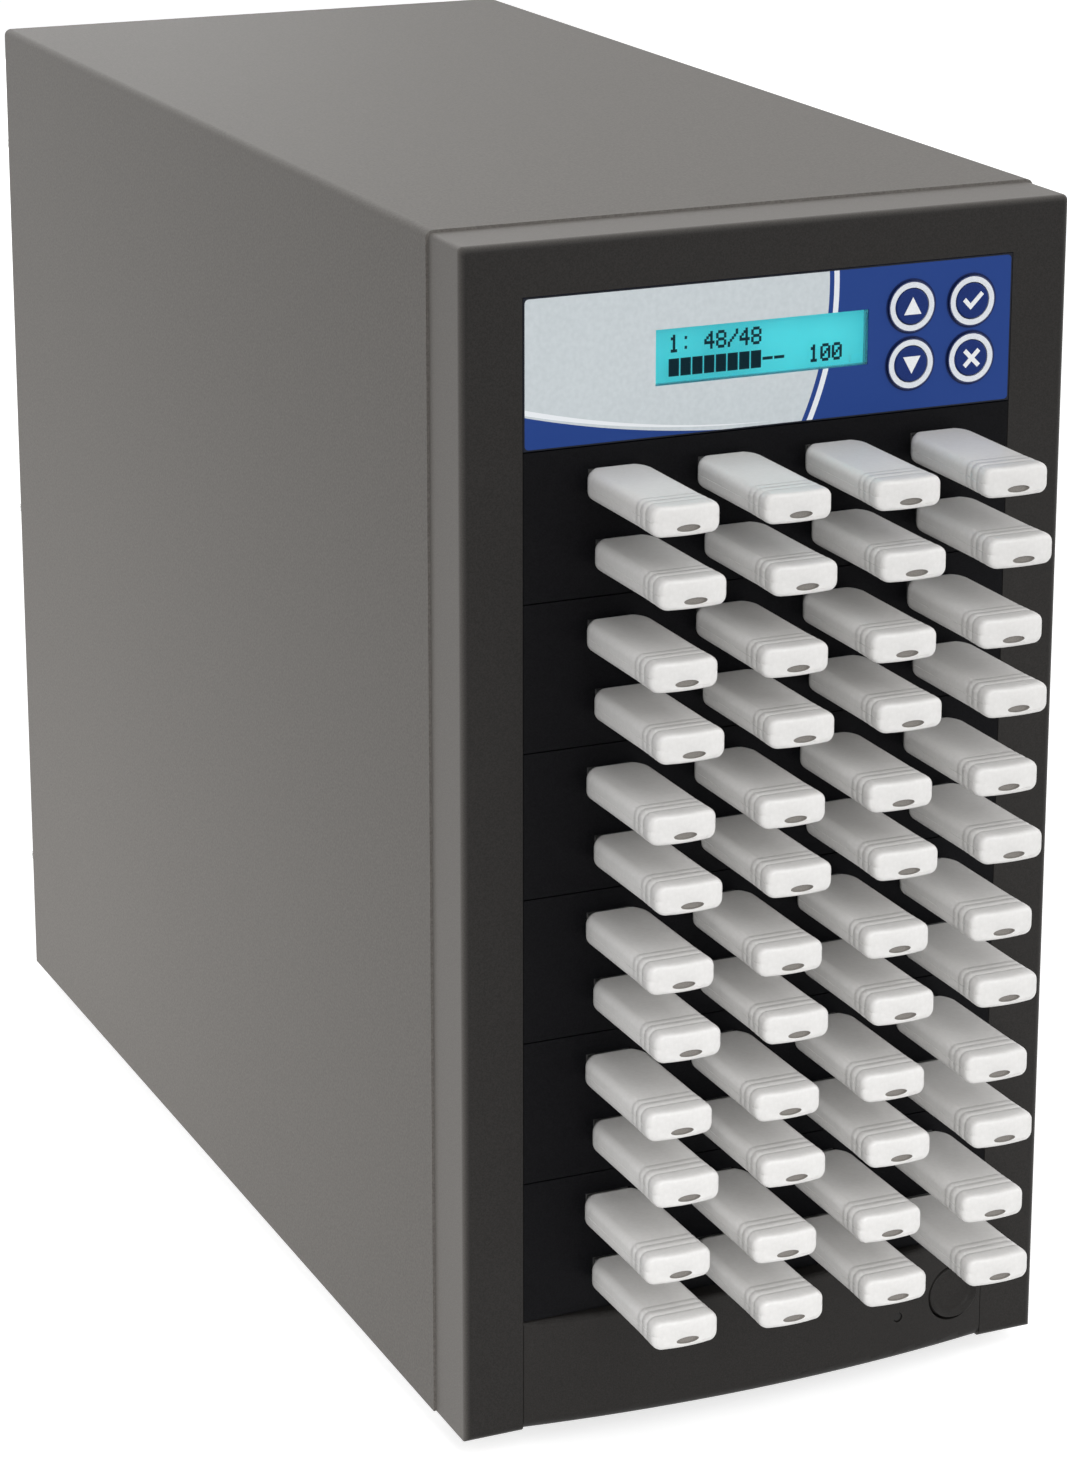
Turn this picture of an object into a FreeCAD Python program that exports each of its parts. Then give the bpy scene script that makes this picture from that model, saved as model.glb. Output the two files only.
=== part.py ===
import FreeCAD, Part
import math
import os

# Drive duplicator tower: a seven-bay steel case with a moulded front, a control panel in the top bay,
# six bays of USB ports and a USB stick in every port. Lengths are in millimetres.
# X runs to the right as seen from the front, Y runs from the front to the back, and Z is up.
# The origin is at the middle of the bottom of the whole object's box.
# "Depth" is a distance behind the front face of the bezel.

# ---- case ----
bezel_width = 184.0
bezel_depth = 22.0
bezel_wall = 2.5
top_rail = 14.7
boss_inset = 41.4
boss_radius = 5.0
boss_hole_radius = 1.25
boss_hole_depth = 10.0
bezel_corner_radius = 1.5
bezel_edge_radius = 2.2
cover_length = 386.0
cover_sheet = 0.8
cover_flange = 10.0
cover_bend = 1.5
chassis_sheet = 1.0
chassis_clearance = 0.2
cutout_clearance = 0.1
screw_clearance = 0.1
weld = 1.0
foot_height = 6.0
foot_radius = 11.0
foot_taper = 2.0
foot_spigot_radius = 4.0
foot_inset_x = 26.0
foot_inset_y = 34.0
pan_flange = 8.0
frame_flange = 10.0

# ---- bays ----
bay_width = 148.5
bay_pitch = 42.3
bay_count = 7
bay_gap = 0.4
plate_thickness = 2.5
plate_flange = 8.0
plate_flange_wall = 1.5
tray_side_gap = 1.25
tray_gap = 4.3
tray_length = 120.0
tray_tab = 8.0
board_thickness = 1.6
board_edge_gap = 2.0
board_clearance = 0.3
rail_foot_gap = 7.8
rail_slot_length = 12.0
rail_slot_height = 4.0

# ---- USB ports and sticks ----
port_columns = 4
port_pitch = 32.75
upper_row_shift = 1.0
lower_row_shift = 3.3
upper_row_drop = 9.5
lower_row_drop = 29.5
socket_width = 13.2
socket_height = 5.8
socket_wall = 0.4
socket_floor = 0.8
socket_length = 15.0
socket_recess = 0.8
socket_clearance = 0.3
tongue_width = 11.0
tongue_thickness = 1.6
tongue_recess = 3.5
plug_width = 12.0
plug_height = 4.5
plug_wall = 0.3
plug_insertion = 11.0
plug_cavity = 7.5
stick_width = 19.8
stick_height = 8.4
stick_reach = 48.0
stick_gap = 1.5
stick_chamfer = 2.2
stick_cap_length = 9.0
stick_step = 0.5
stick_back_taper = 5.0
stick_hole_width = 6.5
stick_hole_height = 2.1
stick_hole_depth = 1.2
stick_hole_drop = 2.0
single_stick_rows = 1

# ---- control panel ----
film_thickness = 0.3
window_width = 64.5
window_height = 15.5
window_inset = 77.25
window_drop = 20.0
window_clearance = 0.15
window_recess = 0.2
display_width = 74.0
display_height = 25.0
display_depth = 7.0
post_size = 4.0
post_inset = 3.5
key_radius = 5.05
key_clearance = 0.25
key_proud = 1.0
key_flange = 1.0
key_stem_radius = 1.6
key_inset = 12.95
key_drop = 12.5
key_pitch_x = 18.9
key_pitch_z = 16.2
collar_width = 1.9
collar_proud = 0.7
switch_size = 6.0
switch_height = 3.6
switch_bore_clearance = 0.25
switch_floor = 0.8
stem_engagement = 1.0

# ---- lower insert with the power button ----
chin_height = 34.2
chin_bulge = 5.5
chin_wall = 2.5
chin_top_radius = 1.5
chin_bottom_radius = 4.0
chin_bottom_depth = 15.8
button_inset = 10.25
button_height = 17.5
button_radius = 8.5
button_clearance = 0.3
button_proud = 0.5
button_travel = 2.5
button_lug = 1.2
button_lug_width = 6.0
button_stem_radius = 2.4
guide_wall = 1.6
guide_depth = 10.0
light_spacing = 19.5
light_heights = (20.7, 13.9)
light_radius = 1.3
light_clearance = 0.2
light_recess = 0.5
power_switch_size = 13.8
power_switch_flange = 18.0
power_switch_flange_depth = 1.5
power_switch_depth = 16.0

# ---- power supply, at the top of the back ----
supply_side_gap = 17.0
supply_length = 140.0
supply_sheet = 1.0
supply_fan_gap = 2.0
supply_drop = 12.0
supply_rim_x = 6.0
supply_rim_z = 3.0
supply_screw_drop = 8.0
supply_fan_margin = 7.0
inlet_inset = 27.0
inlet_drop = 18.0
inlet_width = 27.6
inlet_height = 20.0
inlet_depth = 20.0
inlet_wall = 1.8
inlet_flange = 1.6
inlet_cavity = 17.0
pin_spacing = 14.0
pin_offset = 2.0
pin_width = 2.0
pin_height = 4.0
pin_recess = 2.0
rocker_inset = 27.0
rocker_rise = 18.0
rocker_width = 16.0
rocker_height = 10.0
rocker_wall = 1.5
rocker_clearance = 0.6
rocker_body_depth = 11.0
rocker_flange = 1.2
rocker_crown = 1.0
rocker_angle = 8.0
rocker_pin_radius = 1.2
rocker_pin_clearance = 0.1

# ---- fans ----
fan_size = 80.0
fan_depth = 25.0
fan_corner_radius = 3.0
fan_duct_wall = 2.0
fan_tip_gap = 1.5
fan_hub_radius = 16.0
fan_motor_depth = 4.0
fan_arm_width = 5.0
fan_hole_inset = 4.25
fan_screw_radius = 2.0
fan_hole_radius = 2.2
fan_blades = 7
fan_blade_pitch = 35.0
fan_blade_chord = 17.0
fan_blade_thickness = 1.6
fan_shaft_radius = 1.5
fan_shaft_clearance = 0.1
fan_running_gap = 0.5
exhaust_gap = 11.0
guard_wire = 1.6
guard_rings = 3
guard_ring_pitch = 11.0
guard_edge = 2.0
grille_slot = 4.0
grille_pitch = 7.5
vent_rows = 6
vent_columns = 2
vent_length = 44.0
vent_height = 3.0
vent_pitch_z = 8.0
vent_pitch_x = 56.0
vent_base_height = 40.0
screw_head_radius = 3.2
screw_head_height = 1.8
screw_length = 5.0
thumb_radius = 5.0
thumb_height = 5.0
thumb_shank_radius = 1.9
thumb_length = 6.0
thumb_inset = 40.0

# ---- worked out from the sizes above ----
bezel_front = -(stick_reach + bezel_depth + cover_length + thumb_height) / 2 + stick_reach
frame_y = bezel_front + bezel_depth
cover_back = frame_y + cover_length
panel_y = cover_back - cover_sheet - chassis_sheet
floor_z = foot_height
pan_top = floor_z + chassis_sheet
bays_bottom_z = floor_z + chin_height
bays_top_z = bays_bottom_z + bay_count * bay_pitch
roof_z = bays_top_z + top_rail
half_width = bezel_width / 2
plate_width = bay_width - bay_gap
plate_height = bay_pitch - bay_gap
chassis_half = half_width - chassis_clearance
frame_back = frame_y + chassis_sheet
board_y = bezel_front + socket_recess + socket_length
tongue_length = socket_length - tongue_recess
tray_half = bay_width / 2 - tray_side_gap
tray_inner = tray_half - chassis_sheet
tray_height = bay_pitch - tray_gap
board_height = tray_height - 2 * board_edge_gap
panel_front = bezel_front + film_thickness
panel_back = panel_front + plate_thickness
window_x = bay_width / 2 - window_inset
window_z = bays_top_z - window_drop
button_x = bay_width / 2 - button_inset
button_z = floor_z + button_height
light_x = button_x - light_spacing
chin_half = plate_width / 2
chin_radius = (chin_half ** 2 + chin_bulge ** 2) / (2 * chin_bulge)
chin_top = bays_bottom_z - bay_gap / 2
fan_duct_radius = fan_size / 2 - fan_duct_wall
fan_hole_spacing = fan_size - 2 * fan_hole_inset
supply_width = bezel_width - 2 * supply_side_gap
supply_height = fan_size + 2 * (supply_sheet + supply_fan_gap)
supply_top = roof_z - supply_drop
supply_z = supply_top - supply_height / 2
supply_fan_x = supply_width / 2 - supply_fan_margin - fan_size / 2
inlet_x = inlet_inset - supply_width / 2
rocker_x = rocker_inset - supply_width / 2
exhaust_z = supply_top - supply_height - exhaust_gap - fan_size / 2

parts = {}


def box(x0, x1, y0, y1, z0, z1):
    return Part.makeBox(x1 - x0, y1 - y0, z1 - z0, FreeCAD.Vector(x0, y0, z0))


def plate(width, height, x, z, y0, y1):
    """A box centred on x and z, between two depths."""
    return box(x - width / 2, x + width / 2, y0, y1, z - height / 2, z + height / 2)


def rod(radius, x, z, y0, y1):
    """A round bar along Y."""
    return Part.makeCylinder(radius, y1 - y0, FreeCAD.Vector(x, y0, z), FreeCAD.Vector(0, 1, 0))


def post(radius, x, y, z0, z1):
    """A round bar along Z."""
    return Part.makeCylinder(radius, z1 - z0, FreeCAD.Vector(x, y, z0))


def union(shapes):
    shapes = list(shapes)
    return shapes[0].multiFuse(shapes[1:]).removeSplitter() if len(shapes) > 1 else shapes[0]


def group(shapes):
    return Part.makeCompound(list(shapes))


def edges_where(shape, test):
    return [edge for edge in shape.Edges if test(edge.BoundBox)]


def along_y(bounds):
    return bounds.YLength > 1.0 and bounds.XLength < 1e-4 and bounds.ZLength < 1e-4


def rounded_top(body, radius):
    """The same body with its two upper edges along Y rounded."""
    top = body.BoundBox.ZMax
    return body.makeFillet(radius, edges_where(body, lambda b: along_y(b) and b.ZMin > top - 1e-4))


def at_front(bounds, y):
    return abs(bounds.YMin - y) < 1e-4 and bounds.YLength < 1e-4


def add(name, shape):
    if not shape.isValid():
        raise ValueError(name + " is not a valid shape")
    parts[name] = shape


def bay_middle(bay):
    """Height of the middle of a bay, counted from the top one, 0."""
    return bays_top_z - (bay + 0.5) * bay_pitch


def port_rows():
    """Each row of ports from the top: its bay, its shift to the right and its height."""
    for bay in range(1, bay_count):
        top = bays_top_z - bay * bay_pitch
        yield bay, upper_row_shift, top - upper_row_drop
        yield bay, lower_row_shift, top - lower_row_drop


def port_xs(shift):
    middle = (port_columns - 1) / 2
    return [shift + (column - middle) * port_pitch for column in range(port_columns)]


# ---- folded steel case ----
def outer_cover():
    """One sheet folded over the top and both sides, with a narrow flange turned in at the back."""
    outer_half = half_width + cover_sheet
    outer = box(-outer_half, outer_half, frame_y, cover_back, floor_z, roof_z + cover_sheet)
    outer = rounded_top(outer, cover_bend + cover_sheet)
    inner = box(-half_width, half_width, frame_y, cover_back - cover_sheet, floor_z, roof_z)
    inner = rounded_top(inner, cover_bend)
    window_half = half_width - cover_flange
    window = box(-window_half, window_half, frame_y, cover_back, floor_z, roof_z - cover_flange)
    hole_radius = thumb_shank_radius + 2 * screw_clearance
    holes = [rod(hole_radius, x, z, panel_y, cover_back) for x, z in thumb_places()]
    return outer.cut([inner, window] + holes)


def thumb_places():
    x = half_width - cover_flange / 2
    heights = (floor_z + thumb_inset, (floor_z + roof_z) / 2, roof_z - thumb_inset)
    return [(side * x, z) for z in heights for side in (-1, 1)]


def base_pan():
    """Bottom sheet with turned-up edges, holes for the feet and slots that let air in."""
    inside_half = chassis_half - chassis_sheet
    back = panel_y
    pan = box(-chassis_half, chassis_half, frame_back, back, floor_z, pan_top + pan_flange)
    pan = pan.makeFillet(2 * chassis_sheet, edges_where(pan, lambda b: along_y(b) and b.ZMax < pan_top))
    hollow = box(-inside_half, inside_half, frame_back + chassis_sheet, back - chassis_sheet,
                 pan_top, pan_top + pan_flange)
    hollow = hollow.makeFillet(chassis_sheet,
                               edges_where(hollow, lambda b: along_y(b) and b.ZMax < pan_top + 1e-4))
    spigots = [post(foot_spigot_radius + cutout_clearance, x, y, floor_z, pan_top) for x, y in foot_places()]
    slots = []
    for side in (-1, 1):
        for row in range(vent_rows):
            y = frame_y + foot_inset_y + 2 * foot_radius + row * vent_pitch_z
            x = side * vent_pitch_x / 2
            slots.append(box(x - vent_length / 2, x + vent_length / 2, y, y + vent_height, floor_z, pan_top))
    return pan.cut([hollow] + spigots + slots)


def foot_places():
    x = half_width - foot_inset_x
    return [(side * x, y) for side in (-1, 1) for y in (frame_y + foot_inset_y, cover_back - foot_inset_y)]


def foot(x, y):
    """Rubber foot that narrows downwards, with a spigot pushed into the pan."""
    body = Part.makeCone(foot_radius - foot_taper, foot_radius, foot_height, FreeCAD.Vector(x, y, 0))
    spigot = post(foot_spigot_radius, x, y, floor_z, pan_top + chassis_sheet)
    return body.fuse(spigot)


def front_frame():
    """Steel plate behind the bezel, cut out for the bays, with its edges turned back."""
    back = frame_back + frame_flange
    top = roof_z - chassis_clearance
    frame = rounded_top(box(-chassis_half, chassis_half, frame_y, back, pan_top, top), cover_bend)
    inside_half = chassis_half - chassis_sheet
    hollow = box(-inside_half, inside_half, frame_back, back, pan_top, top - chassis_sheet)
    hollow = rounded_top(hollow, cover_bend - chassis_sheet)
    over_pan = box(-chassis_half, chassis_half, frame_back, back, pan_top, pan_top + pan_flange)
    opening_half = tray_half + chassis_clearance
    opening = box(-opening_half, opening_half, frame_y, frame_back, bays_bottom_z, bays_top_z)
    hole_size = power_switch_size + 2 * cutout_clearance
    switch_hole = plate(hole_size, hole_size, button_x, button_z, frame_y, frame_back)
    return frame.cut([hollow, over_pan, opening, switch_hole])


def bay_rail(side):
    """Upright side plate that carries the trays, with a foot on the pan and a screw slot for each bay."""
    near = side * tray_half
    far = side * (tray_half + chassis_sheet)
    edge = side * (chassis_half - chassis_sheet - rail_foot_gap)
    back = frame_back + tray_length
    front = frame_back + chassis_sheet
    top = bays_top_z
    web = box(min(near, far), max(near, far), front, back, pan_top, top)
    sill = box(min(near, edge), max(near, edge), front, back, pan_top, pan_top + chassis_sheet)
    head = box(min(near, edge), max(near, edge), front, back, top - chassis_sheet, top)
    lip = box(min(near, edge), max(near, edge), frame_back, front, pan_top + pan_flange, top)
    slots = []
    for bay in range(bay_count):
        for y in (front + tray_length / 4, front + 3 * tray_length / 4):
            slot = box(min(near, far), max(near, far), -rail_slot_length / 2, rail_slot_length / 2,
                       -rail_slot_height / 2, rail_slot_height / 2)
            slots.append(slot.translated(FreeCAD.Vector(0, y, bay_middle(bay))))
    return union([web, sill, head, lip]).cut(slots)


def rear_panel():
    """Back sheet with turned-in edges, the supply's opening, the fan's grille and rows of vents."""
    top = roof_z - chassis_clearance
    panel = box(-chassis_half, chassis_half, panel_y - frame_flange, panel_y + chassis_sheet, pan_top, top)
    panel = rounded_top(panel, cover_bend)
    inside_half = chassis_half - chassis_sheet
    hollow = box(-inside_half, inside_half, panel_y - frame_flange, panel_y, pan_top, top - chassis_sheet)
    hollow = rounded_top(hollow, cover_bend - chassis_sheet)
    over_pan = box(-chassis_half, chassis_half, panel_y - frame_flange, panel_y, pan_top, pan_top + pan_flange)
    y0 = panel_y
    y1 = panel_y + chassis_sheet
    cuts = [hollow, over_pan]
    cuts.append(plate(supply_width - 2 * supply_rim_x, supply_height - 2 * supply_rim_z,
                      0, supply_z, y0, y1))
    for x, z in supply_screw_places():
        cuts.append(rod(fan_screw_radius, x, z, y0, y1))
    for x, z in fan_screw_places(0, exhaust_z):
        cuts.append(rod(fan_screw_radius, x, z, y0, y1))
    for x, z in thumb_places():
        cuts.append(rod(thumb_shank_radius, x, z, y0, y1))
    slots = int(fan_duct_radius / grille_pitch)
    for index in range(-slots, slots + 1):
        rise = index * grille_pitch
        half = math.sqrt(fan_duct_radius ** 2 - (abs(rise) + grille_slot / 2) ** 2) if \
            abs(rise) + grille_slot / 2 < fan_duct_radius else 0
        if half > grille_slot:
            cuts.append(plate(2 * half, grille_slot, 0, exhaust_z + rise, y0, y1))
    for column in range(vent_columns):
        x = (column - (vent_columns - 1) / 2) * vent_pitch_x
        for row in range(vent_rows):
            z = floor_z + vent_base_height + row * vent_pitch_z
            cuts.append(plate(vent_length, vent_height, x, z, y0, y1))
    return panel.cut(cuts)


# ---- moulded front ----
def front_bezel():
    """Hollow moulding: a rounded frame round the bay opening, open behind, with screw bosses."""
    outer = box(-half_width, half_width, bezel_front, frame_y, floor_z, roof_z)
    outer = rounded_top(outer, bezel_corner_radius)
    outer = outer.makeFillet(bezel_edge_radius, edges_where(outer, lambda b: at_front(b, bezel_front)))
    inner_half = half_width - bezel_wall
    cavity = box(-inner_half, inner_half, bezel_front + bezel_wall, frame_y,
                 floor_z + bezel_wall, roof_z - bezel_wall)
    return_half = bay_width / 2 + bezel_wall
    core = box(-return_half, return_half, bezel_front, frame_y, floor_z, bays_top_z + bezel_wall)
    bosses = []
    holes = []
    boss_x = (half_width + bay_width / 2) / 2
    for side in (-1, 1):
        for z in (floor_z + boss_inset, roof_z - boss_inset):
            bosses.append(rod(boss_radius, side * boss_x, z, bezel_front + bezel_wall, frame_y))
            holes.append(rod(boss_hole_radius, side * boss_x, z, frame_y - boss_hole_depth, frame_y))
    frame = outer.cut(cavity.cut([core] + bosses))
    opening = box(-bay_width / 2, bay_width / 2, bezel_front, frame_y, floor_z, bays_top_z)
    tie = box(-bay_width / 2, bay_width / 2, bezel_front + chin_bottom_depth + bay_gap / 2, frame_y,
              floor_z, floor_z + bezel_wall)
    return frame.cut(opening).fuse(tie).removeSplitter().cut(holes)


def chin_outline(inset, y_back):
    """Plan of the lower insert as a face: an arc that bulges forward, closed by straight sides."""
    radius = chin_radius - inset
    centre_y = bezel_front - chin_bulge + chin_radius
    half = chin_half - inset
    corner_y = centre_y - math.sqrt(radius ** 2 - half ** 2)
    left = FreeCAD.Vector(-half, corner_y, 0)
    middle = FreeCAD.Vector(0, centre_y - radius, 0)
    right = FreeCAD.Vector(half, corner_y, 0)
    back_right = FreeCAD.Vector(half, y_back, 0)
    back_left = FreeCAD.Vector(-half, y_back, 0)
    edges = [Part.Arc(left, middle, right).toShape(), Part.makeLine(right, back_right),
             Part.makeLine(back_right, back_left), Part.makeLine(back_left, left)]
    return Part.Face(Part.Wire(edges))


def chin_depth_at(x):
    """Y of the insert's outer face at a distance x from the middle."""
    return bezel_front - chin_bulge + chin_radius - math.sqrt(chin_radius ** 2 - x ** 2)


def chin_block(inset, z0, z1, top_radius, bottom_radius):
    block = chin_outline(inset, frame_y).extrude(FreeCAD.Vector(0, 0, z1 - z0))
    block.translate(FreeCAD.Vector(0, 0, z0))
    arcs = edges_where(block, lambda b: b.ZLength < 1e-4 and b.YLength > 1 and b.XLength > chin_half)
    low = [edge for edge in arcs if edge.BoundBox.ZMin < z0 + 1e-4]
    if bottom_radius > 0:
        block = block.makeFillet(bottom_radius, low)
    if top_radius > 0:
        high = edges_where(block, lambda b: b.ZMin > z1 - 1e-4 and b.YLength > 1 and b.XLength > chin_half)
        block = block.makeFillet(top_radius, high)
    return block


def chin_panel():
    """Curved insert below the bays: a thin shell with a guide for the button and two light holes."""
    outer = chin_block(0, floor_z, chin_top, chin_top_radius, chin_bottom_radius)
    inner = chin_block(chin_wall, floor_z + chin_wall, chin_top - chin_wall, 0, 0)
    guide_y = bezel_front + guide_depth
    guide_radius = button_radius + button_clearance + guide_wall
    guide = rod(guide_radius, button_x, button_z, bezel_front - chin_bulge, guide_y)
    shell = outer.cut(inner.cut(guide))
    notch = box(-chin_half, chin_half, bezel_front + chin_bottom_depth, frame_y,
                floor_z, floor_z + chin_wall + bay_gap / 2)
    bore_end = guide_y + button_lug + button_travel + 2 * button_clearance
    bore = rod(button_radius + button_clearance, button_x, button_z, bezel_front - chin_bulge, bore_end)
    lights = [rod(light_radius + light_clearance, light_x, floor_z + height,
                  bezel_front - chin_bulge, frame_y) for height in light_heights]
    return shell.cut([notch, bore] + lights)


def light_pipe(height):
    """Clear pin that carries a light to the insert's face."""
    front = chin_depth_at(light_x) + light_recess
    return rod(light_radius, light_x, floor_z + height, front, frame_y)


def power_button():
    """Round cap with two retaining lugs behind its guide and a stem that enters the switch."""
    front = chin_depth_at(button_x) - button_proud
    lug_y = bezel_front + guide_depth + button_clearance
    cap = rod(button_radius, button_x, button_z, front, lug_y + button_lug)
    cap = cap.makeChamfer(button_proud / 2, edges_where(cap, lambda b: at_front(b, front)))
    lug_height = 2 * (button_radius + button_clearance + guide_wall)
    lugs = plate(button_lug_width, lug_height, button_x, button_z, lug_y, lug_y + button_lug)
    stem_end = frame_y + button_clearance + button_travel
    stem = rod(button_stem_radius, button_x, button_z, lug_y, stem_end)
    return union([cap, lugs, stem])


def power_switch():
    """Push switch held in the front frame by its flange, open in front for the button's stem."""
    front = frame_y - power_switch_flange_depth
    back = frame_y + power_switch_depth
    body = plate(power_switch_size, power_switch_size, button_x, button_z, front, back)
    flange = plate(power_switch_size, power_switch_flange, button_x, button_z, front, frame_y)
    bore = rod(button_stem_radius + button_clearance, button_x, button_z,
               front, frame_y + 2 * button_travel + 2 * button_clearance)
    return union([body, flange]).cut(bore)


# ---- control panel ----
def key_places():
    """Up and down in the left column, enter and back in the right one."""
    right = bay_width / 2 - key_inset
    left = right - key_pitch_x
    upper = bays_top_z - key_drop
    lower = upper - key_pitch_z
    return {"key_up": (left, upper), "key_down": (left, lower),
            "key_enter": (right, upper), "key_back": (right, lower)}


def bay_plate(bay, front):
    """Blank front of one bay: a plate with a short flange along its top and bottom."""
    z = bay_middle(bay)
    flange_back = front + plate_thickness + plate_flange
    body = plate(plate_width, plate_height, 0, z, front, flange_back)
    hollow = plate(plate_width, plate_height - 2 * plate_flange_wall, 0, z,
                   front + plate_thickness, flange_back)
    return body.cut(hollow)


def control_panel():
    """Moulded plate with the display's window and a raised collar round each key."""
    front = panel_front
    body = bay_plate(0, front)
    hole_radius = key_radius + key_clearance
    collars = []
    holes = [plate(window_width, window_height, window_x, window_z, front, panel_back)]
    for x, z in key_places().values():
        collars.append(rod(hole_radius + collar_width, x, z, bezel_front - collar_proud, panel_back))
        holes.append(rod(hole_radius, x, z, bezel_front - collar_proud, panel_back))
    return union([body] + collars).cut(holes)


def panel_overlay():
    """Printed film on the control panel, cut out for the window and the collars."""
    film = plate(plate_width, plate_height, 0, bay_middle(0), bezel_front, panel_front)
    hole_radius = key_radius + key_clearance + collar_width + bay_gap / 2
    holes = [plate(window_width, window_height, window_x, window_z, bezel_front, panel_front)]
    for x, z in key_places().values():
        holes.append(rod(hole_radius, x, z, bezel_front, panel_front))
    return film.cut(holes)


def lcd_window():
    """Clear pane that fills the window."""
    width = window_width - 2 * window_clearance
    height = window_height - 2 * window_clearance
    return plate(width, height, window_x, window_z, bezel_front + window_recess, panel_back)


def lcd_module():
    """Display block behind the window, on four posts that stand on the controller board."""
    back = panel_back + display_depth
    body = plate(display_width, display_height, window_x, window_z, panel_back, back)
    x_reach = display_width / 2 - post_inset
    z_reach = display_height / 2 - post_inset
    posts = [plate(post_size, post_size, window_x + sx * x_reach, window_z + sz * z_reach, back, board_y)
             for sx in (-1, 1) for sz in (-1, 1)]
    return union([body] + posts)


def bay_board(bay):
    """Circuit board across one bay, resting against the tray's tabs."""
    width = 2 * (tray_inner - board_clearance)
    return plate(width, board_height, 0, bay_middle(bay), board_y, board_y + board_thickness)


def key_switch(x, z):
    front = board_y - switch_height
    body = plate(switch_size, switch_size, x, z, front, board_y)
    return body.cut(rod(key_stem_radius + switch_bore_clearance, x, z, front, board_y - switch_floor))


def key_cap(x, z):
    """Round key with a retaining flange behind the panel and a stem that enters its switch."""
    front = bezel_front - key_proud
    flange_y = panel_back + key_clearance
    cap = rod(key_radius, x, z, front, flange_y + key_flange)
    cap = cap.makeChamfer(key_proud / 3, edges_where(cap, lambda b: at_front(b, front)))
    flange = rod(key_radius + 1.5 * key_clearance + key_flange / 2, x, z, flange_y, flange_y + key_flange)
    stem = rod(key_stem_radius, x, z, flange_y, board_y - switch_height + stem_engagement)
    return union([cap, flange, stem])


# ---- bays, boards, sockets and sticks ----
def bay_tray(bay):
    """Folded tray: a floor, two sides that meet the bay's front plate, and tabs that hold the board."""
    front = (panel_back if bay == 0 else bezel_front + plate_thickness)
    back = frame_back + tray_length
    z = bay_middle(bay)
    low = z - tray_height / 2
    high = z + tray_height / 2
    body = box(-tray_half, tray_half, front, back, low, high)
    hollow = box(-tray_inner, tray_inner, front, back, low + chassis_sheet, high)
    over_floor = box(-tray_inner, tray_inner, front, board_y + board_thickness, low, high)
    tab_y = board_y + board_thickness
    tab_x = tray_inner - tray_tab / 2
    tabs = [plate(tray_tab, tray_height, side * tab_x, z, tab_y, tab_y + chassis_sheet) for side in (-1, 1)]
    return union([body.cut([hollow, over_floor])] + tabs)


def usb_faceplate(bay):
    """Bay front with eight port slots in two rows."""
    body = bay_plate(bay, bezel_front)
    slots = []
    for row_bay, shift, z in port_rows():
        if row_bay != bay:
            continue
        for x in port_xs(shift):
            slots.append(plate(socket_width + 2 * socket_clearance, socket_height + 2 * socket_clearance,
                               x, z, bezel_front, bezel_front + plate_thickness))
    return body.cut(slots)


def usb_socket(x, z):
    """Steel shell, open in front, round a contact tongue above the middle of the mouth."""
    front = bezel_front + socket_recess
    shell = plate(socket_width, socket_height, x, z, front, board_y)
    mouth = plate(socket_width - 2 * socket_wall, socket_height - 2 * socket_wall,
                  x, z, front, board_y - socket_floor)
    tongue = plate(tongue_width, tongue_thickness, x, z + tongue_rise(), board_y - tongue_length, board_y)
    return shell.cut(mouth).fuse(tongue)


def tongue_rise():
    """The tongue fills the middle of the free half of the plug."""
    return plug_height / 4 - plug_wall / 2


def octagon(width, height, chamfer, x, y, z):
    """Closed eight-sided section across Y."""
    half_w = width / 2
    half_h = height / 2
    flat_w = half_w - chamfer
    flat_h = half_h - chamfer
    corners = [(flat_w, -half_h), (half_w, -flat_h), (half_w, flat_h), (flat_w, half_h),
               (-flat_w, half_h), (-half_w, flat_h), (-half_w, -flat_h), (-flat_w, -half_h)]
    return [FreeCAD.Vector(x + dx, y, z + dz) for dx, dz in corners]


def flat_face(points):
    return Part.Face(Part.makePolygon(list(points) + [points[0]]))


def faceted(sections):
    """Closed solid through sections with the same number of corners, with flat sides between them."""
    faces = [flat_face(sections[0]), flat_face(sections[-1])]
    for near, far in zip(sections, sections[1:]):
        for index in range(len(near)):
            after = (index + 1) % len(near)
            faces.append(flat_face([near[index], near[after], far[after], far[index]]))
    solid = Part.makeSolid(Part.makeShell(faces))
    if solid.Volume < 0:
        solid.reverse()
    return solid


def usb_stick(x, z):
    """Stick seated in its port: a steel plug, a tapered body and a thicker end cap with a keyring hole."""
    tip = bezel_front - stick_reach
    start = bezel_front - stick_gap
    cap_start = tip + stick_cap_length
    slim = 2 * stick_step

    def section(y, narrower, chamfer):
        return octagon(stick_width - narrower, stick_height - narrower, chamfer, x, y, z)

    body = faceted([
        section(tip, 2 * slim, stick_chamfer),
        section(tip + slim, 0, stick_chamfer),
        section(cap_start, 0, stick_chamfer),
        section(cap_start, slim, stick_chamfer),
        section(start - stick_back_taper, slim, stick_chamfer),
        section(start, slim + stick_chamfer, stick_chamfer),
    ])
    hole_z = z - stick_hole_drop
    hole = faceted([
        octagon(stick_hole_width, stick_hole_height, stick_hole_height / 3, x, y, hole_z)
        for y in (tip, tip + stick_hole_depth)
    ])
    plug = plate(plug_width, plug_height, x, z, start, bezel_front + plug_insertion)
    half_height = plug_height / 2 - plug_wall
    cavity = box(x - plug_width / 2 + plug_wall, x + plug_width / 2 - plug_wall,
                 bezel_front + plug_insertion - plug_cavity, bezel_front + plug_insertion, z, z + half_height)
    return body.cut(hole).fuse(plug.cut(cavity))


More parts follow.
